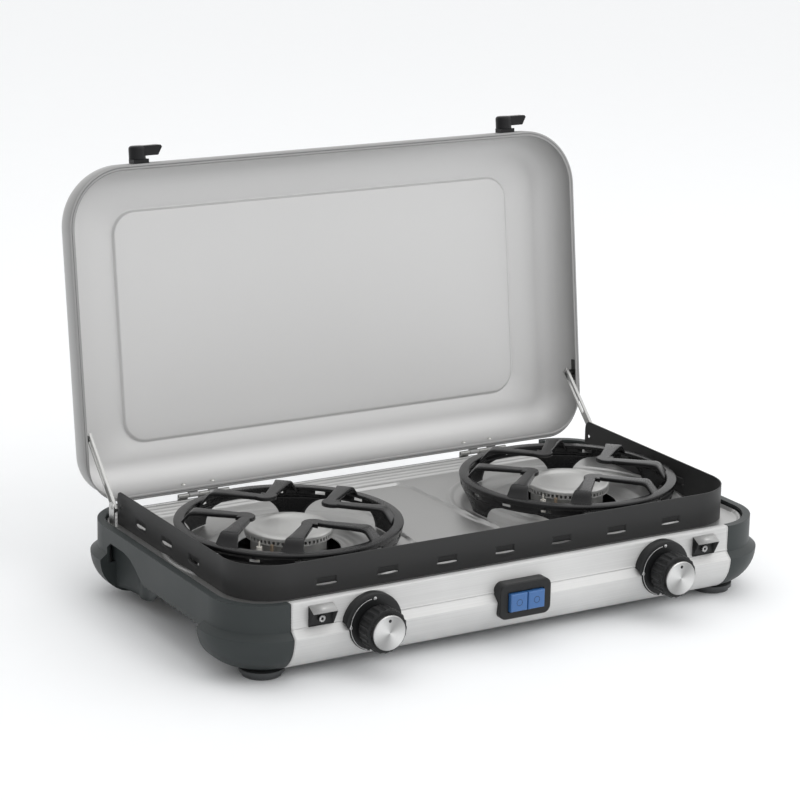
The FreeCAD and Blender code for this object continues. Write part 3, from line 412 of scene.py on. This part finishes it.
# ---- wind screen ---------------------------------------------------------------
SCREEN_HALF, SCREEN_FRONT, SCREEN_REAR, SCREEN_R = 272.3, 26.1, 293.0, 45.0
SCREEN_LOW, SCREEN_TOP = 76.2, 109.8
LOUVRE_HALF, LOUVRE_HIGH, LOUVRE_LIP = 10.5, 6.2, 4.5
LOUVRE_PITCH, FRONT_LOUVRE_Z = 63.4, 85.6
SIDE_LOUVRES, SIDE_LOUVRE_Z = (127.6, 184.1, 240.6), 87.6
SCREEN_END_R = 8                        # rounding of the screen's free upper corners
EYELET_Y, EYELET_Z, EYELET_R = 286.0, 94.0, 2.0


def screen_point(s):
    """Plan position and outward direction at a distance along the screen from its middle."""
    sign, s = (1 if s >= 0 else -1), abs(s)
    straight, arc = SCREEN_HALF - SCREEN_R, SCREEN_R * pi / 2
    if s <= straight:
        x, y, nx, ny = s, SCREEN_FRONT, 0, -1
    elif s <= straight + arc:
        a = (s - straight) / SCREEN_R
        nx, ny = sin(a), -cos(a)
        x, y = straight + SCREEN_R * nx, SCREEN_FRONT + SCREEN_R + SCREEN_R * ny
    else:
        x, y, nx, ny = SCREEN_HALF, SCREEN_FRONT + SCREEN_R + s - straight - arc, 1, 0
    return sign * x, y, sign * nx, ny


def build_screen():
    """Bent sheet with a row of louvres: a pocket above each slot and a lip below it."""
    straight, arc = SCREEN_HALF - SCREEN_R, SCREEN_R * pi / 2
    reach = straight + arc + SCREEN_REAR - SCREEN_FRONT - SCREEN_R
    side_start = straight + arc - SCREEN_FRONT - SCREEN_R
    louvres = [(LOUVRE_PITCH * i, FRONT_LOUVRE_Z) for i in range(-3, 4)]
    for k in (1, -1):
        louvres += [(k * (side_start + y), SIDE_LOUVRE_Z) for y in SIDE_LOUVRES]
    step = 1.05
    columns = int(2 * reach / step) + 1
    heights = [SCREEN_LOW + (SCREEN_TOP - SCREEN_LOW) * i / 42 for i in range(43)]
    points, push = [], []
    for z in heights:
        for c in range(columns):
            s = -reach + 2 * reach * c / (columns - 1)
            depth = 0.0
            for s0, z0 in louvres:
                u, v = (s - s0) / LOUVRE_HALF, z - z0
                if abs(u) < 1 and 0 <= v < LOUVRE_HIGH:
                    depth = (1.1 + 1.1 * (1 - v / LOUVRE_HIGH)) * (1 - u ** 24)
                elif abs(u) < 1 and -LOUVRE_LIP < v < 0:
                    depth = -2.0 * (1 - u * u) * ease(1 + v / LOUVRE_LIP)
            x, y, nx, ny = screen_point(s)
            top = z
            gone = reach - abs(s)
            if gone < SCREEN_END_R and z > SCREEN_TOP - SCREEN_END_R:
                limit = (SCREEN_TOP - SCREEN_END_R
                         + sqrt(max(SCREEN_END_R ** 2 - (SCREEN_END_R - gone) ** 2, 0)))
                top = min(z, limit)
            points.append((x - nx * depth, y - ny * depth, top))
            push.append(depth)
    faces = []
    for f in grid_faces(len(heights), columns):
        low, high = min(push[f[0]], push[f[1]]), max(push[f[2]], push[f[3]])
        if high > 0.5 and low < -0.05:
            continue
        middle = [sum(points[i][k] for i in f) / 4 for k in (1, 2)]
        if hypot(middle[0] - EYELET_Y, middle[1] - EYELET_Z) < EYELET_R:
            continue
        faces.append(f)
    piece("screen_sheet", points, faces, "base", "screen_paint", ("wind_screen",), thick=0.9)


# ---- pan supports --------------------------------------------------------------
RING_R, RING_IN, RING_Z = 108.6, 97.0, 103.7
SKIRT_LOW, SKIRT_FOOT = 92.5, 76.4
SKIRT_SLOTS, SLOT_HALF = 16, 2.7        # how many, and half the angle of each
FINGER_TIP, FINGER_Z, FINGER_SPREAD = 42.0, 113.4, radians(27)


def polar(centre_x, r, a, z):
    """A point on a circle round a burner."""
    return (centre_x + r * cos(a), BURNER_Y + r * sin(a), z)


def skirt_radius(z):
    """The skirt narrows towards its feet."""
    return RING_R - 0.4 - 5.1 * (RING_Z - z) / (RING_Z - SKIRT_FOOT)


def build_ring(name, cx):
    """Rolled flange with a slotted skirt that stands on six legs."""
    points, faces = [], []
    profile = [(RING_IN + 2.0, RING_Z - 2.4), (RING_IN + 2.1, RING_Z - 0.4), (RING_IN + 2.6, RING_Z - 0.1),
               (RING_R - 1.6, RING_Z - 0.1), (RING_R - 0.8, RING_Z - 0.4), (RING_R - 0.5, RING_Z - 1.2),
               (skirt_radius(101), 101), (skirt_radius(98.6), 98.6)]
    n = 240
    for r, z in profile:
        points += [polar(cx, r, 2 * pi * i / n, z) for i in range(n)]
    faces += grid_faces(len(profile), n, closed=True)
    # Band with a row of slots: columns fall on the slots' ends.
    pitch = 360.0 / SKIRT_SLOTS
    stops = (-SLOT_HALF, -SLOT_HALF / 2, 0, SLOT_HALF / 2, SLOT_HALF, 5.5, 8.0, 11.25, 14.5, 17.0)
    edges = [slot * pitch + part for slot in range(SKIRT_SLOTS) for part in stops]
    rows = [98.6, 98.3, 95.2, SKIRT_LOW]
    start, per_slot = len(points), len(edges) // SKIRT_SLOTS
    for z in rows:
        points += [polar(cx, skirt_radius(z), radians(a), z) for a in edges]
    for f in grid_faces(len(rows), len(edges), closed=True, start=start):
        row, column = divmod(f[0] - start, len(edges))
        if row == 1 and column % per_slot < 4:
            continue
        faces.append(f)
    for leg in range(6):
        start, steps, across = len(points), 9, 9
        for k in range(steps):
            t = k / (steps - 1)
            z = SKIRT_LOW + (SKIRT_FOOT - SKIRT_LOW) * t
            half = 7.0 + 8.0 * (1 - t) ** 1.5 + 5.0 * (1 - t) ** 8
            for i in range(across):
                a = radians(60 * leg + half * (2 * i / (across - 1) - 1))
                points.append(polar(cx, skirt_radius(z), a, z))
        faces += grid_faces(steps, across, start=start)
    return points, faces


def finger_half():
    """Centre line of one leg from the ring to the tip: x, y, height, half width, slope of the end."""
    end = ((RING_IN + 5) * cos(FINGER_SPREAD), (RING_IN + 5) * sin(FINGER_SPREAD))
    bend = (FINGER_TIP + 7.0, 6.5)
    run = hypot(end[0] - bend[0], end[1] - bend[1])
    path = []
    for d, drop, half in ((0, 12.5, 11.5), (4, 9.8, 10.6), (8, 4.6, 9.2), (11, 1.2, 8.4), (13, 0.3, 8.0),
                          (16, 0, 7.2), (26, 0, 6.2), (run - 4, 0, 4.9), (run, 0, 4.7)):
        t = d / run
        path.append((end[0] + (bend[0] - end[0]) * t, end[1] + (bend[1] - end[1]) * t,
                     FINGER_Z - drop, half))
    for i in range(1, 7):
        a = pi / 2 * i / 6
        path.append((bend[0] - 7.0 * sin(a), bend[1] * cos(a), FINGER_Z, 4.7))
    return path


def build_finger(cx, angle):
    """A looped strip: up from the ring, in to a rounded tip and back out again."""
    half_path = finger_half()
    section = [(1.0, 3.0), (1.0, 0.9), (0.97, 0.25), (0.90, 0.02), (0.4, 0), (0, 0),
               (-0.4, 0), (-0.90, 0.02), (-0.97, 0.25), (-1.0, 0.9), (-1.0, 3.0)]
    inner_x = FINGER_TIP + 14.0
    rows = []
    for i, (x, y, z, half) in enumerate(half_path):
        x0, y0 = half_path[max(i - 1, 0)][:2]
        x1, y1 = half_path[min(i + 1, len(half_path) - 1)][:2]
        if i == len(half_path) - 1:
            x0, y0, x1, y1 = x, 1.0, x, 0.0
        length = hypot(x1 - x0, y1 - y0)
        nx, ny = (y1 - y0) / length, -(x1 - x0) / length
        row = []
        for u, drop in section:
            px, py = x + nx * u * half, y + ny * u * half
            if py < 0.0 or (u < 0 and i >= len(half_path) - 6):
                px, py = inner_x * (-u) + x * (1 + u) if u < 0 else px, max(py, 0.0) * (1 + min(u, 0))
            row.append((px, py, z - drop))
        rows.append(row)
    rows += [[(x, -y, z) for x, y, z in row] for row in reversed(rows[:-1])]
    c, s = cos(angle), sin(angle)
    points = [(cx + x * c - y * s, BURNER_Y + x * s + y * c, z) for row in rows for x, y, z in row]
    return points, grid_faces(len(rows), len(section))


def build_supports():
    """One welded mesh per pan support: the ring and its four fingers."""
    for name, side in SIDES:
        cx = side * BURNER_X
        points, faces = build_ring(name, cx)
        for k in range(4):
            more, loops = build_finger(cx, k * pi / 2)
            faces += [tuple(i + len(points) for i in f) for f in loops]
            points += more
        piece(f"{name}_support_ring", points, faces, f"{name}_support", "support_enamel",
              (f"{name}_pan_support",), thick=1.2, sharp=28)


build_deck()
build_screen()
build_supports()

# ---- lid -----------------------------------------------------------------------
LID_HALF, LID_LENGTH, LID_FRONT_R, LID_REAR_R = 290.0, 328.0, 60.0, 42.0
LID_PANEL, LID_RAISED = 40.4, 38.0      # depths of the pan's floor and of its raised panel
RAISED_HALF, RAISED_LOW, RAISED_HIGH, RAISED_R = 226.7, 51, 278, 22


def lid_point(u, v, w):
    """Across, along from the hinge edge, and in from the rim plane of the open lid."""
    y = AXIS_Y + AXIS_GAP * sin(TILT) + v * sin(TILT) + w * cos(TILT)
    return u, y, AXIS_Z + AXIS_GAP * cos(TILT) + v * cos(TILT) - w * sin(TILT)


def rounded_loop(half, v0, v1, low_r, high_r, w):
    """Points round a rounded rectangle in the lid's plane, always the same number."""
    corners = [(half, v1, high_r, 0), (-half, v1, high_r, 90),
               (-half, v0, low_r, 180), (half, v0, low_r, 270)]
    arcs = []
    for u, v, r, start in corners:
        cu = u - r if u > 0 else u + r
        cv = v - r if start < 180 else v + r
        turns = [radians(start + 90 * i / 20) for i in range(21)]
        arcs.append([(cu + r * cos(a), cv + r * sin(a)) for a in turns])
    loop = []
    for i, arc in enumerate(arcs):
        after = arcs[(i + 1) % 4][0]
        loop += arc
        loop += [(arc[-1][0] + (after[0] - arc[-1][0]) * k / 24,
                  arc[-1][1] + (after[1] - arc[-1][1]) * k / 24) for k in range(1, 24)]
    return [lid_point(u, v, w) for u, v in loop]


def build_lid():
    """Deep pan with a rolled rim, a wide turn into its floor, and a raised panel with a groove."""
    turn_r, wall, rear_wall = 27.0, 0.45, 4.95
    # Inset at the sides and front, inset at the hinge edge, depth from the rim plane.
    profile = [(5.2, 0.5, 1.1), (4.6, 0.6, 0.6), (3.9, 1.0, 0.42), (3.1, 1.7, 0.5), (2.6, 2.2, 1.9),
               (2.1, 2.7, 0.5), (1.5, 3.3, 0.42), (0.9, 4.1, 0.5), (0.5, 4.8, 0.9), (wall, rear_wall, 1.6),
               (wall, rear_wall, 6), (wall, rear_wall, LID_PANEL - turn_r)]
    for i in range(1, 13):
        a = pi / 2 * i / 12
        grow = turn_r * (1 - cos(a))
        profile.append((wall + grow, rear_wall + grow, LID_PANEL - turn_r * (1 - sin(a))))
    loops = [rounded_loop(LID_HALF - d, rear, LID_LENGTH - d, max(LID_REAR_R - d, 15),
                          max(LID_FRONT_R - d, 24), w) for d, rear, w in profile]
    for grow, w in ((5.0, 0.0), (3.9, -0.6), (2.6, -1.0), (1.5, -0.5), (0.4, 1.7), (-0.3, 2.3),
                    (-1.2, 2.4), (-12, 2.4)):
        loops.append(rounded_loop(RAISED_HALF + grow, RAISED_LOW - grow, RAISED_HIGH + grow,
                                  RAISED_R + grow, RAISED_R + grow, LID_PANEL - w))
    for share in (0.75, 0.4, 0.1):
        loops.append(rounded_loop(215 * share, 164.5 - 102 * share, 164.5 + 102 * share, 8 * share,
                                  8 * share, LID_RAISED))
    n = len(loops[0])
    points = [p for loop in loops for p in loop]
    faces = grid_faces(len(loops), n, closed=True)
    faces.append(tuple(range(len(points) - n, len(points))))
    piece("lid_pan", points, faces, "lid", "lid_steel", ("lid_shell",), thick=0.8, sharp=60)


# ---- burner caps -----------------------------------------------------------------
def build_burner_cap(name, cx):
    """Pale cap with a rim, a shallow dish and a ring of square flame ports."""
    ports = 60
    top = [(0.1, 95.2), (18, 95.2), (27, 95.4), (30.5, 96.2), (32.8, 97.4), (36, 97.7), (39.5, 97.5),
           (41.2, 96.9), (41.8, 96.0), (41.8, 93.5)]
    angles, is_port = [], []
    for i in range(ports):
        a = 2 * pi * i / ports
        for part, hole in ((-0.50, False), (-0.28, False), (-0.279, True), (0.279, True), (0.28, False)):
            angles.append(a + part * 2 * pi / ports)
            is_port.append(hole)
    rows = [[(r, z)] * len(angles) for r, z in top]
    rows.append([(33.5 if hole else 41.8, 93.6) for hole in is_port])
    rows.append([(33.5 if hole else 41.8, 90.3) for hole in is_port])
    rows += [[(41.8, 90.2)] * len(angles), [(41.6, 89.0)] * len(angles), [(38.5, 88.6)] * len(angles),
             [(30.0, 88.6)] * len(angles)]
    points = [polar(cx, r, a, z) for row in rows for (r, z), a in zip(row, angles)]
    faces = grid_faces(len(rows), len(angles), closed=True)
    piece(f"{name}_burner_disc", points, faces, "base", "cap_aluminium", (f"{name}_burner_cap",), sharp=30)


# ---- front controls ----------------------------------------------------------------
BEZEL_Y = -8.7
BEZEL_R, BEZEL_LOW_R, BEZEL_STEP_Z = 29.0, 25.4, 50.0
MARK_R = 24.3


def bezel_radius(a):
    """The bezel is wider above the crease of the steel front than below it."""
    z = KNOB_Z + BEZEL_R * sin(a)
    return BEZEL_LOW_R + 3.6 * ease((z - BEZEL_STEP_Z) / 7.0)


def build_bezel(name, cx):
    """Plate behind a knob, with a printed arc and three marks."""
    n = 120
    rows = [(0.30, BEZEL_Y), (0.80, BEZEL_Y), (0.955, BEZEL_Y), (0.985, BEZEL_Y + 0.35),
            (1.0, BEZEL_Y + 1.3), (1.0, -3.0), (1.0, 0.2)]
    points = []
    for share, y in rows:
        for i in range(n):
            a = 2 * pi * i / n
            r = bezel_radius(a) * share
            x, z = cx + r * cos(a), KNOB_Z + r * sin(a)
            back = y if y < -5 or z > 56 else min(y, -6.8)
            points.append((x, back, z))
    piece(f"{name}_bezel_plate", points, grid_faces(len(rows), n, closed=True), "base", "trim_plastic",
          (f"{name}_knob_bezel",), sharp=50)
    flat_mark(f"{name}_bezel_arc", cx, KNOB_Z, BEZEL_Y - 0.06, arc_strip(MARK_R, 0.34, 98, 252),
              "mark_white")
    for a, size, tail in ((90, 1.6, 0), (180, 1.6, 2.2), (262, 1.4, 1.3)):
        x, z = cx + MARK_R * cos(radians(a)), KNOB_Z + MARK_R * sin(radians(a))
        flat_mark(f"{name}_bezel_mark_{a}", x, z, BEZEL_Y - 0.12, drop_shape(size, tail), "mark_white")


def arc_strip(r, half, start, end):
    """Quads of a thin arc, as loops of flat points."""
    quads, steps = [], 40
    inner, outer = r - half, r + half
    for i in range(steps):
        a0, a1 = (radians(start + (end - start) * k / steps) for k in (i, i + 1))
        quads.append([(inner * cos(a0), inner * sin(a0)), (outer * cos(a0), outer * sin(a0)),
                      (outer * cos(a1), outer * sin(a1)), (inner * cos(a1), inner * sin(a1))])
    return quads


def drop_shape(r, tail):
    """A dot, or a drop with its point up."""
    loop = []
    for i in range(24):
        a = 2 * pi * i / 24
        lift = tail * max(sin(a), 0) ** 6
        loop.append((r * cos(a) * (1 - 0.4 * max(sin(a), 0) ** 3 * (tail > 0)), r * sin(a) + lift))
    return [loop]


def flat_mark(name, cx, cz, y, loops, material, body="base", slot="trim_plastic"):
    """A thin flat mark facing forward: printed marks, and the painted shade in the catch screw's bore."""
    points, faces = [], []
    for loop in loops:
        faces.append(tuple(range(len(points), len(points) + len(loop))))
        points += [(cx + px, y, cz + pz) for px, pz in loop]
    piece(name, points, faces, body, slot, thick=0.08, material=material)


CATCH_X, CATCH_HALF, CATCH_SCREW_Z, SCREW_FACE_Y = 210.5, 12.2, 65.0, -3.7


def build_catch(name, cx):
    """Lid catch: a hollow hood with a pale ramp, open below its tip, and a ringed screw inside. The hood is
    drawn near-black as painted shade, the pale ramp is its lit top face, and the bore is a painted shadow.
    """
    profile = [(-0.7, 77.0), (-9.6, 72.2), (-1.8, 58.6), (-0.7, 58.6)]
    points = [(cx + side * CATCH_HALF, y, z) for side in (-1, 1) for y, z in profile]
    faces = [(0, 1, 2, 3), (4, 5, 6, 7), (0, 1, 5, 4), (2, 3, 7, 6), (3, 0, 4, 7)]
    # Painted shade: the steel hood is drawn in the near-black trim look for the shade on its end walls and
    # in its hollow.
    piece(f"{name}_catch_hood", points, faces, "base", "catch_steel", (f"{name}_lid_catch",),
          thick=1.1, material="trim_plastic", sharp=20)
    # Painted light: the hood's top face gets a paler steel skin, the lit copy of the same steel.
    ramp = [(-10.2, 72.6), (-0.8, 77.65)]
    points = [(cx + side * (CATCH_HALF + 0.1), y, z) for side in (-1, 1) for y, z in ramp]
    piece(f"{name}_catch_ramp", points, [(0, 1, 3, 2)], "base", "catch_steel", thick=0.12,
          material="ramp_steel")
    flat_mark(f"{name}_catch_ring", cx, CATCH_SCREW_Z, SCREW_FACE_Y, arc_strip(2.2, 1.0, 0, 360),
              "mark_white", slot="screw_steel")
    # Painted shade: a dark disc stands for the shadow inside the screw's bore.
    flat_mark(f"{name}_catch_bore", cx, CATCH_SCREW_Z, SCREW_FACE_Y - 0.02, drop_shape(1.25, 0),
              "mark_dark", slot="screw_steel")


FASCIA_HALF = 240.1
PRESSED_X, PRESSED_HALF, PRESSED_Z, PRESSED_DEPTH = 218.0, 17.0, 56.2, 1.4
BELLY_R, BELLY_Y, BELLY_Z = 36.4, 29.5, 50.5


def build_fascia():
    """Brushed front: rolled top edge, a fine double bead over the crease, the belly under it.

    A shallow mark is pressed into the crease under each catch.
    """
    profile = [(7.4, 81.2), (7.4, 82.0), (6.8, 82.25), (1.4, 82.25), (0.5, 81.9), (0.1, 81.0), (0.05, 80.2),
               (0.05, 60.0), (-0.15, 59.4), (-0.55, 58.9), (-0.6, 58.4), (-0.25, 57.9), (0.0, 57.5),
               (-0.3, 56.9), (-1.2, 55.9), (-6.0, 51.4), (-6.8, 50.6), (-6.95, 49.8)]
    for i in range(1, 25):
        a = pi / 2 * i / 24
        profile.append((BELLY_Y - BELLY_R * cos(a), BELLY_Z - BELLY_R * sin(a)))
    profile.append((31.0, 14.1))
    columns = 161
    points = []
    for y, z in profile:
        for c in range(columns):
            x = -FASCIA_HALF + 2 * FASCIA_HALF * c / (columns - 1)
            pressed = PRESSED_DEPTH * ridge(abs(x) - PRESSED_X, PRESSED_HALF) * ridge(z - PRESSED_Z, 3.6)
            points.append((x, y + pressed, z))
    piece("fascia_sheet", points, grid_faces(len(profile), columns), "base", "fascia_steel",
          ("front_fascia",), thick=0.3, sharp=30)


def build_knob_dot(name, cx):
    """Dark pointer dot on the knob's disc."""
    flat_mark(f"{name}_knob_dot", cx, KNOB_Z + 11.5, -36.0, drop_shape(1.5, 0), "mark_dark",
              body=f"{name}_knob", slot="disc_aluminium")


BUTTON_X, BUTTON_Z, BUTTON_FACE_Y = 9.5, 50.5, -16.0


def build_button_icon(name, side):
    """A plain ring printed on the button's face."""
    flat_mark(f"{name}_button_icon", side * BUTTON_X, BUTTON_Z, BUTTON_FACE_Y,
              arc_strip(3.0, 0.18, 0, 360), "trim_plastic", body=f"{name}_button", slot="button_plastic")


def build_screen_eyelet(name, side):
    """Rolled lip of the round hole near the screen's rear edge."""
    n, points = 28, []
    for r, out in ((1.8, 0.1), (2.0, 0.4), (2.5, 0.4), (3.0, 0.1)):
        turns = [2 * pi * i / n for i in range(n)]
        points += [(side * (SCREEN_HALF + out), EYELET_Y + r * cos(a), EYELET_Z + r * sin(a)) for a in turns]
    piece(f"{name}_screen_eyelet", points, grid_faces(4, n, closed=True), "base", "screen_paint", thick=0.2)


def build_grip_recess():
    """Moulded wall behind the opening in the left end: a shallow curve with one upright ridge."""
    y0, y1, high, wall_x = 172.0, 275.0, 69.5, 286.9
    rows, columns, points = 12, 34, []
    for r in range(rows):
        for c in range(columns):
            t = c / (columns - 1)
            low = 43.0 - 21.0 * ease(t / 0.45)
            inward = 11.0 * sin(pi * t) ** 0.7 - 2.6 * ridge(t - 0.52, 0.12)
            points.append((-(wall_x - inward), y0 + (y1 - y0) * t, low + (high - low) * r / (rows - 1)))
    piece("grip_recess_wall", points, grid_faces(rows, columns), "base", "cap_plastic", thick=1.2, sharp=60)


HINGE_X, RIVET_PAIR, RIVET_DEPTH = 164.0, (-16, 16), 12.5


def build_lid_rivets():
    """Domed heads on the lid's hinge wall, two to a hinge."""
    dome = [(2.7, 0.0), (2.6, 0.5), (2.2, 1.2), (1.5, 1.75), (0.7, 1.98), (0.05, 2.0)]
    n, points, faces = 20, [], []
    for _, side in SIDES:
        for dx in RIVET_PAIR:
            start = len(points)
            for r, lift in dome:
                for i in range(n):
                    a = 2 * pi * i / n
                    points.append(lid_point(side * HINGE_X + dx + r * cos(a), 5.4 + lift,
                                            RIVET_DEPTH + r * sin(a)))
            faces += grid_faces(len(dome), n, closed=True, start=start)
    piece("lid_rivet_heads", points, faces, "lid", "screw_steel", ("lid_rivets",), sharp=60)


build_lid()
build_lid_rivets()
build_grip_recess()
build_fascia()
for side_name, side_sign in SIDES:
    build_burner_cap(side_name, side_sign * BURNER_X)
    build_bezel(side_name, side_sign * KNOB_X)
    build_catch(side_name, side_sign * CATCH_X)
    build_knob_dot(side_name, side_sign * KNOB_X)
    build_button_icon(side_name, side_sign)
    build_screen_eyelet(side_name, side_sign)

# ---- floor, lights, camera -------------------------------------------------------
FLOOR_HALF = 8


def stage_floor():
    """Wide pale floor at ground level."""
    h = FLOOR_HALF
    mesh = bpy.data.meshes.new("floor")
    mesh.from_pydata([(-h, -h, 0), (h, -h, 0), (h, h, 0), (-h, h, 0)], [], [(0, 1, 2, 3)])
    floor = bpy.data.objects.new("floor", mesh)
    bpy.context.scene.collection.objects.link(floor)
    mesh.materials.append(surface("floor_pale", (0.93, 0.94, 0.95), 0.7, 0, (40, 40, 40), 0.01, edge=0.1,
                                  shade=0.004))


def area_light(name, where, target, size, power):
    """Soft rectangular light aimed at a point."""
    data = bpy.data.lights.new(name, "AREA")
    data.shape = "RECTANGLE"
    data.size, data.size_y = size
    data.energy = power
    light = bpy.data.objects.new(name, data)
    light.location = where
    light.rotation_euler = (Vector(target) - Vector(where)).to_track_quat("-Z", "Y").to_euler()
    bpy.context.scene.collection.objects.link(light)


def camera():
    """Long lens from the front left and above, with a slight roll."""
    yaw, pitch, roll = -0.538, 0.271, 0.020
    place = Vector((-1.3098, -2.1562, 0.8874))
    back = Vector((sin(yaw) * cos(pitch), -cos(yaw) * cos(pitch), sin(pitch)))
    right = Vector((cos(yaw), sin(yaw), 0))
    up = back.cross(right)
    turned_right = cos(roll) * right + sin(roll) * up
    turned_up = -sin(roll) * right + cos(roll) * up
    data = bpy.data.cameras.new("camera")
    data.lens, data.sensor_width = 121.45, 36
    cam = bpy.data.objects.new("camera", data)
    cam.matrix_world = Matrix((
        (turned_right.x, turned_up.x, back.x, place.x),
        (turned_right.y, turned_up.y, back.y, place.y),
        (turned_right.z, turned_up.z, back.z, place.z),
        (0, 0, 0, 1)))
    bpy.context.scene.collection.objects.link(cam)
    bpy.context.scene.camera = cam


def darker_left():
    """Lets the surroundings fall off towards the left, so that left-facing walls go grey."""
    nodes, link = world.node_tree.nodes, world.node_tree.links.new
    around = nodes.new("ShaderNodeTexCoord")
    parts = nodes.new("ShaderNodeSeparateXYZ")
    fall = nodes.new("ShaderNodeMapRange")
    fall.inputs["From Min"].default_value = -0.95
    fall.inputs["From Max"].default_value = -0.15
    fall.inputs["To Min"].default_value = 0.42
    fall.inputs["To Max"].default_value = 0.97
    link(around.outputs["Generated"], parts.inputs["Vector"])
    link(parts.outputs["X"], fall.inputs["Value"])
    link(fall.outputs["Result"], world.node_tree.nodes["Background"].inputs["Color"])


stage_floor()
world = bpy.data.worlds.new("studio")
bpy.context.scene.world = world
world.use_nodes = True
world.node_tree.nodes["Background"].inputs["Color"].default_value = (0.97, 0.98, 1.0, 1)
world.node_tree.nodes["Background"].inputs["Strength"].default_value = 1.10
darker_left()
bpy.context.scene.view_settings.view_transform = "Standard"
middle = (0, 0, 0.1)
area_light("key", (0.9, -1.9, 2.6), middle, (1.8, 1.6), 14)
area_light("fill", (2.4, -1.0, 1.6), middle, (1.6, 1.6), 6)
area_light("top", (0.2, 0.6, 2.6), middle, (2.4, 1.6), 6)
camera()
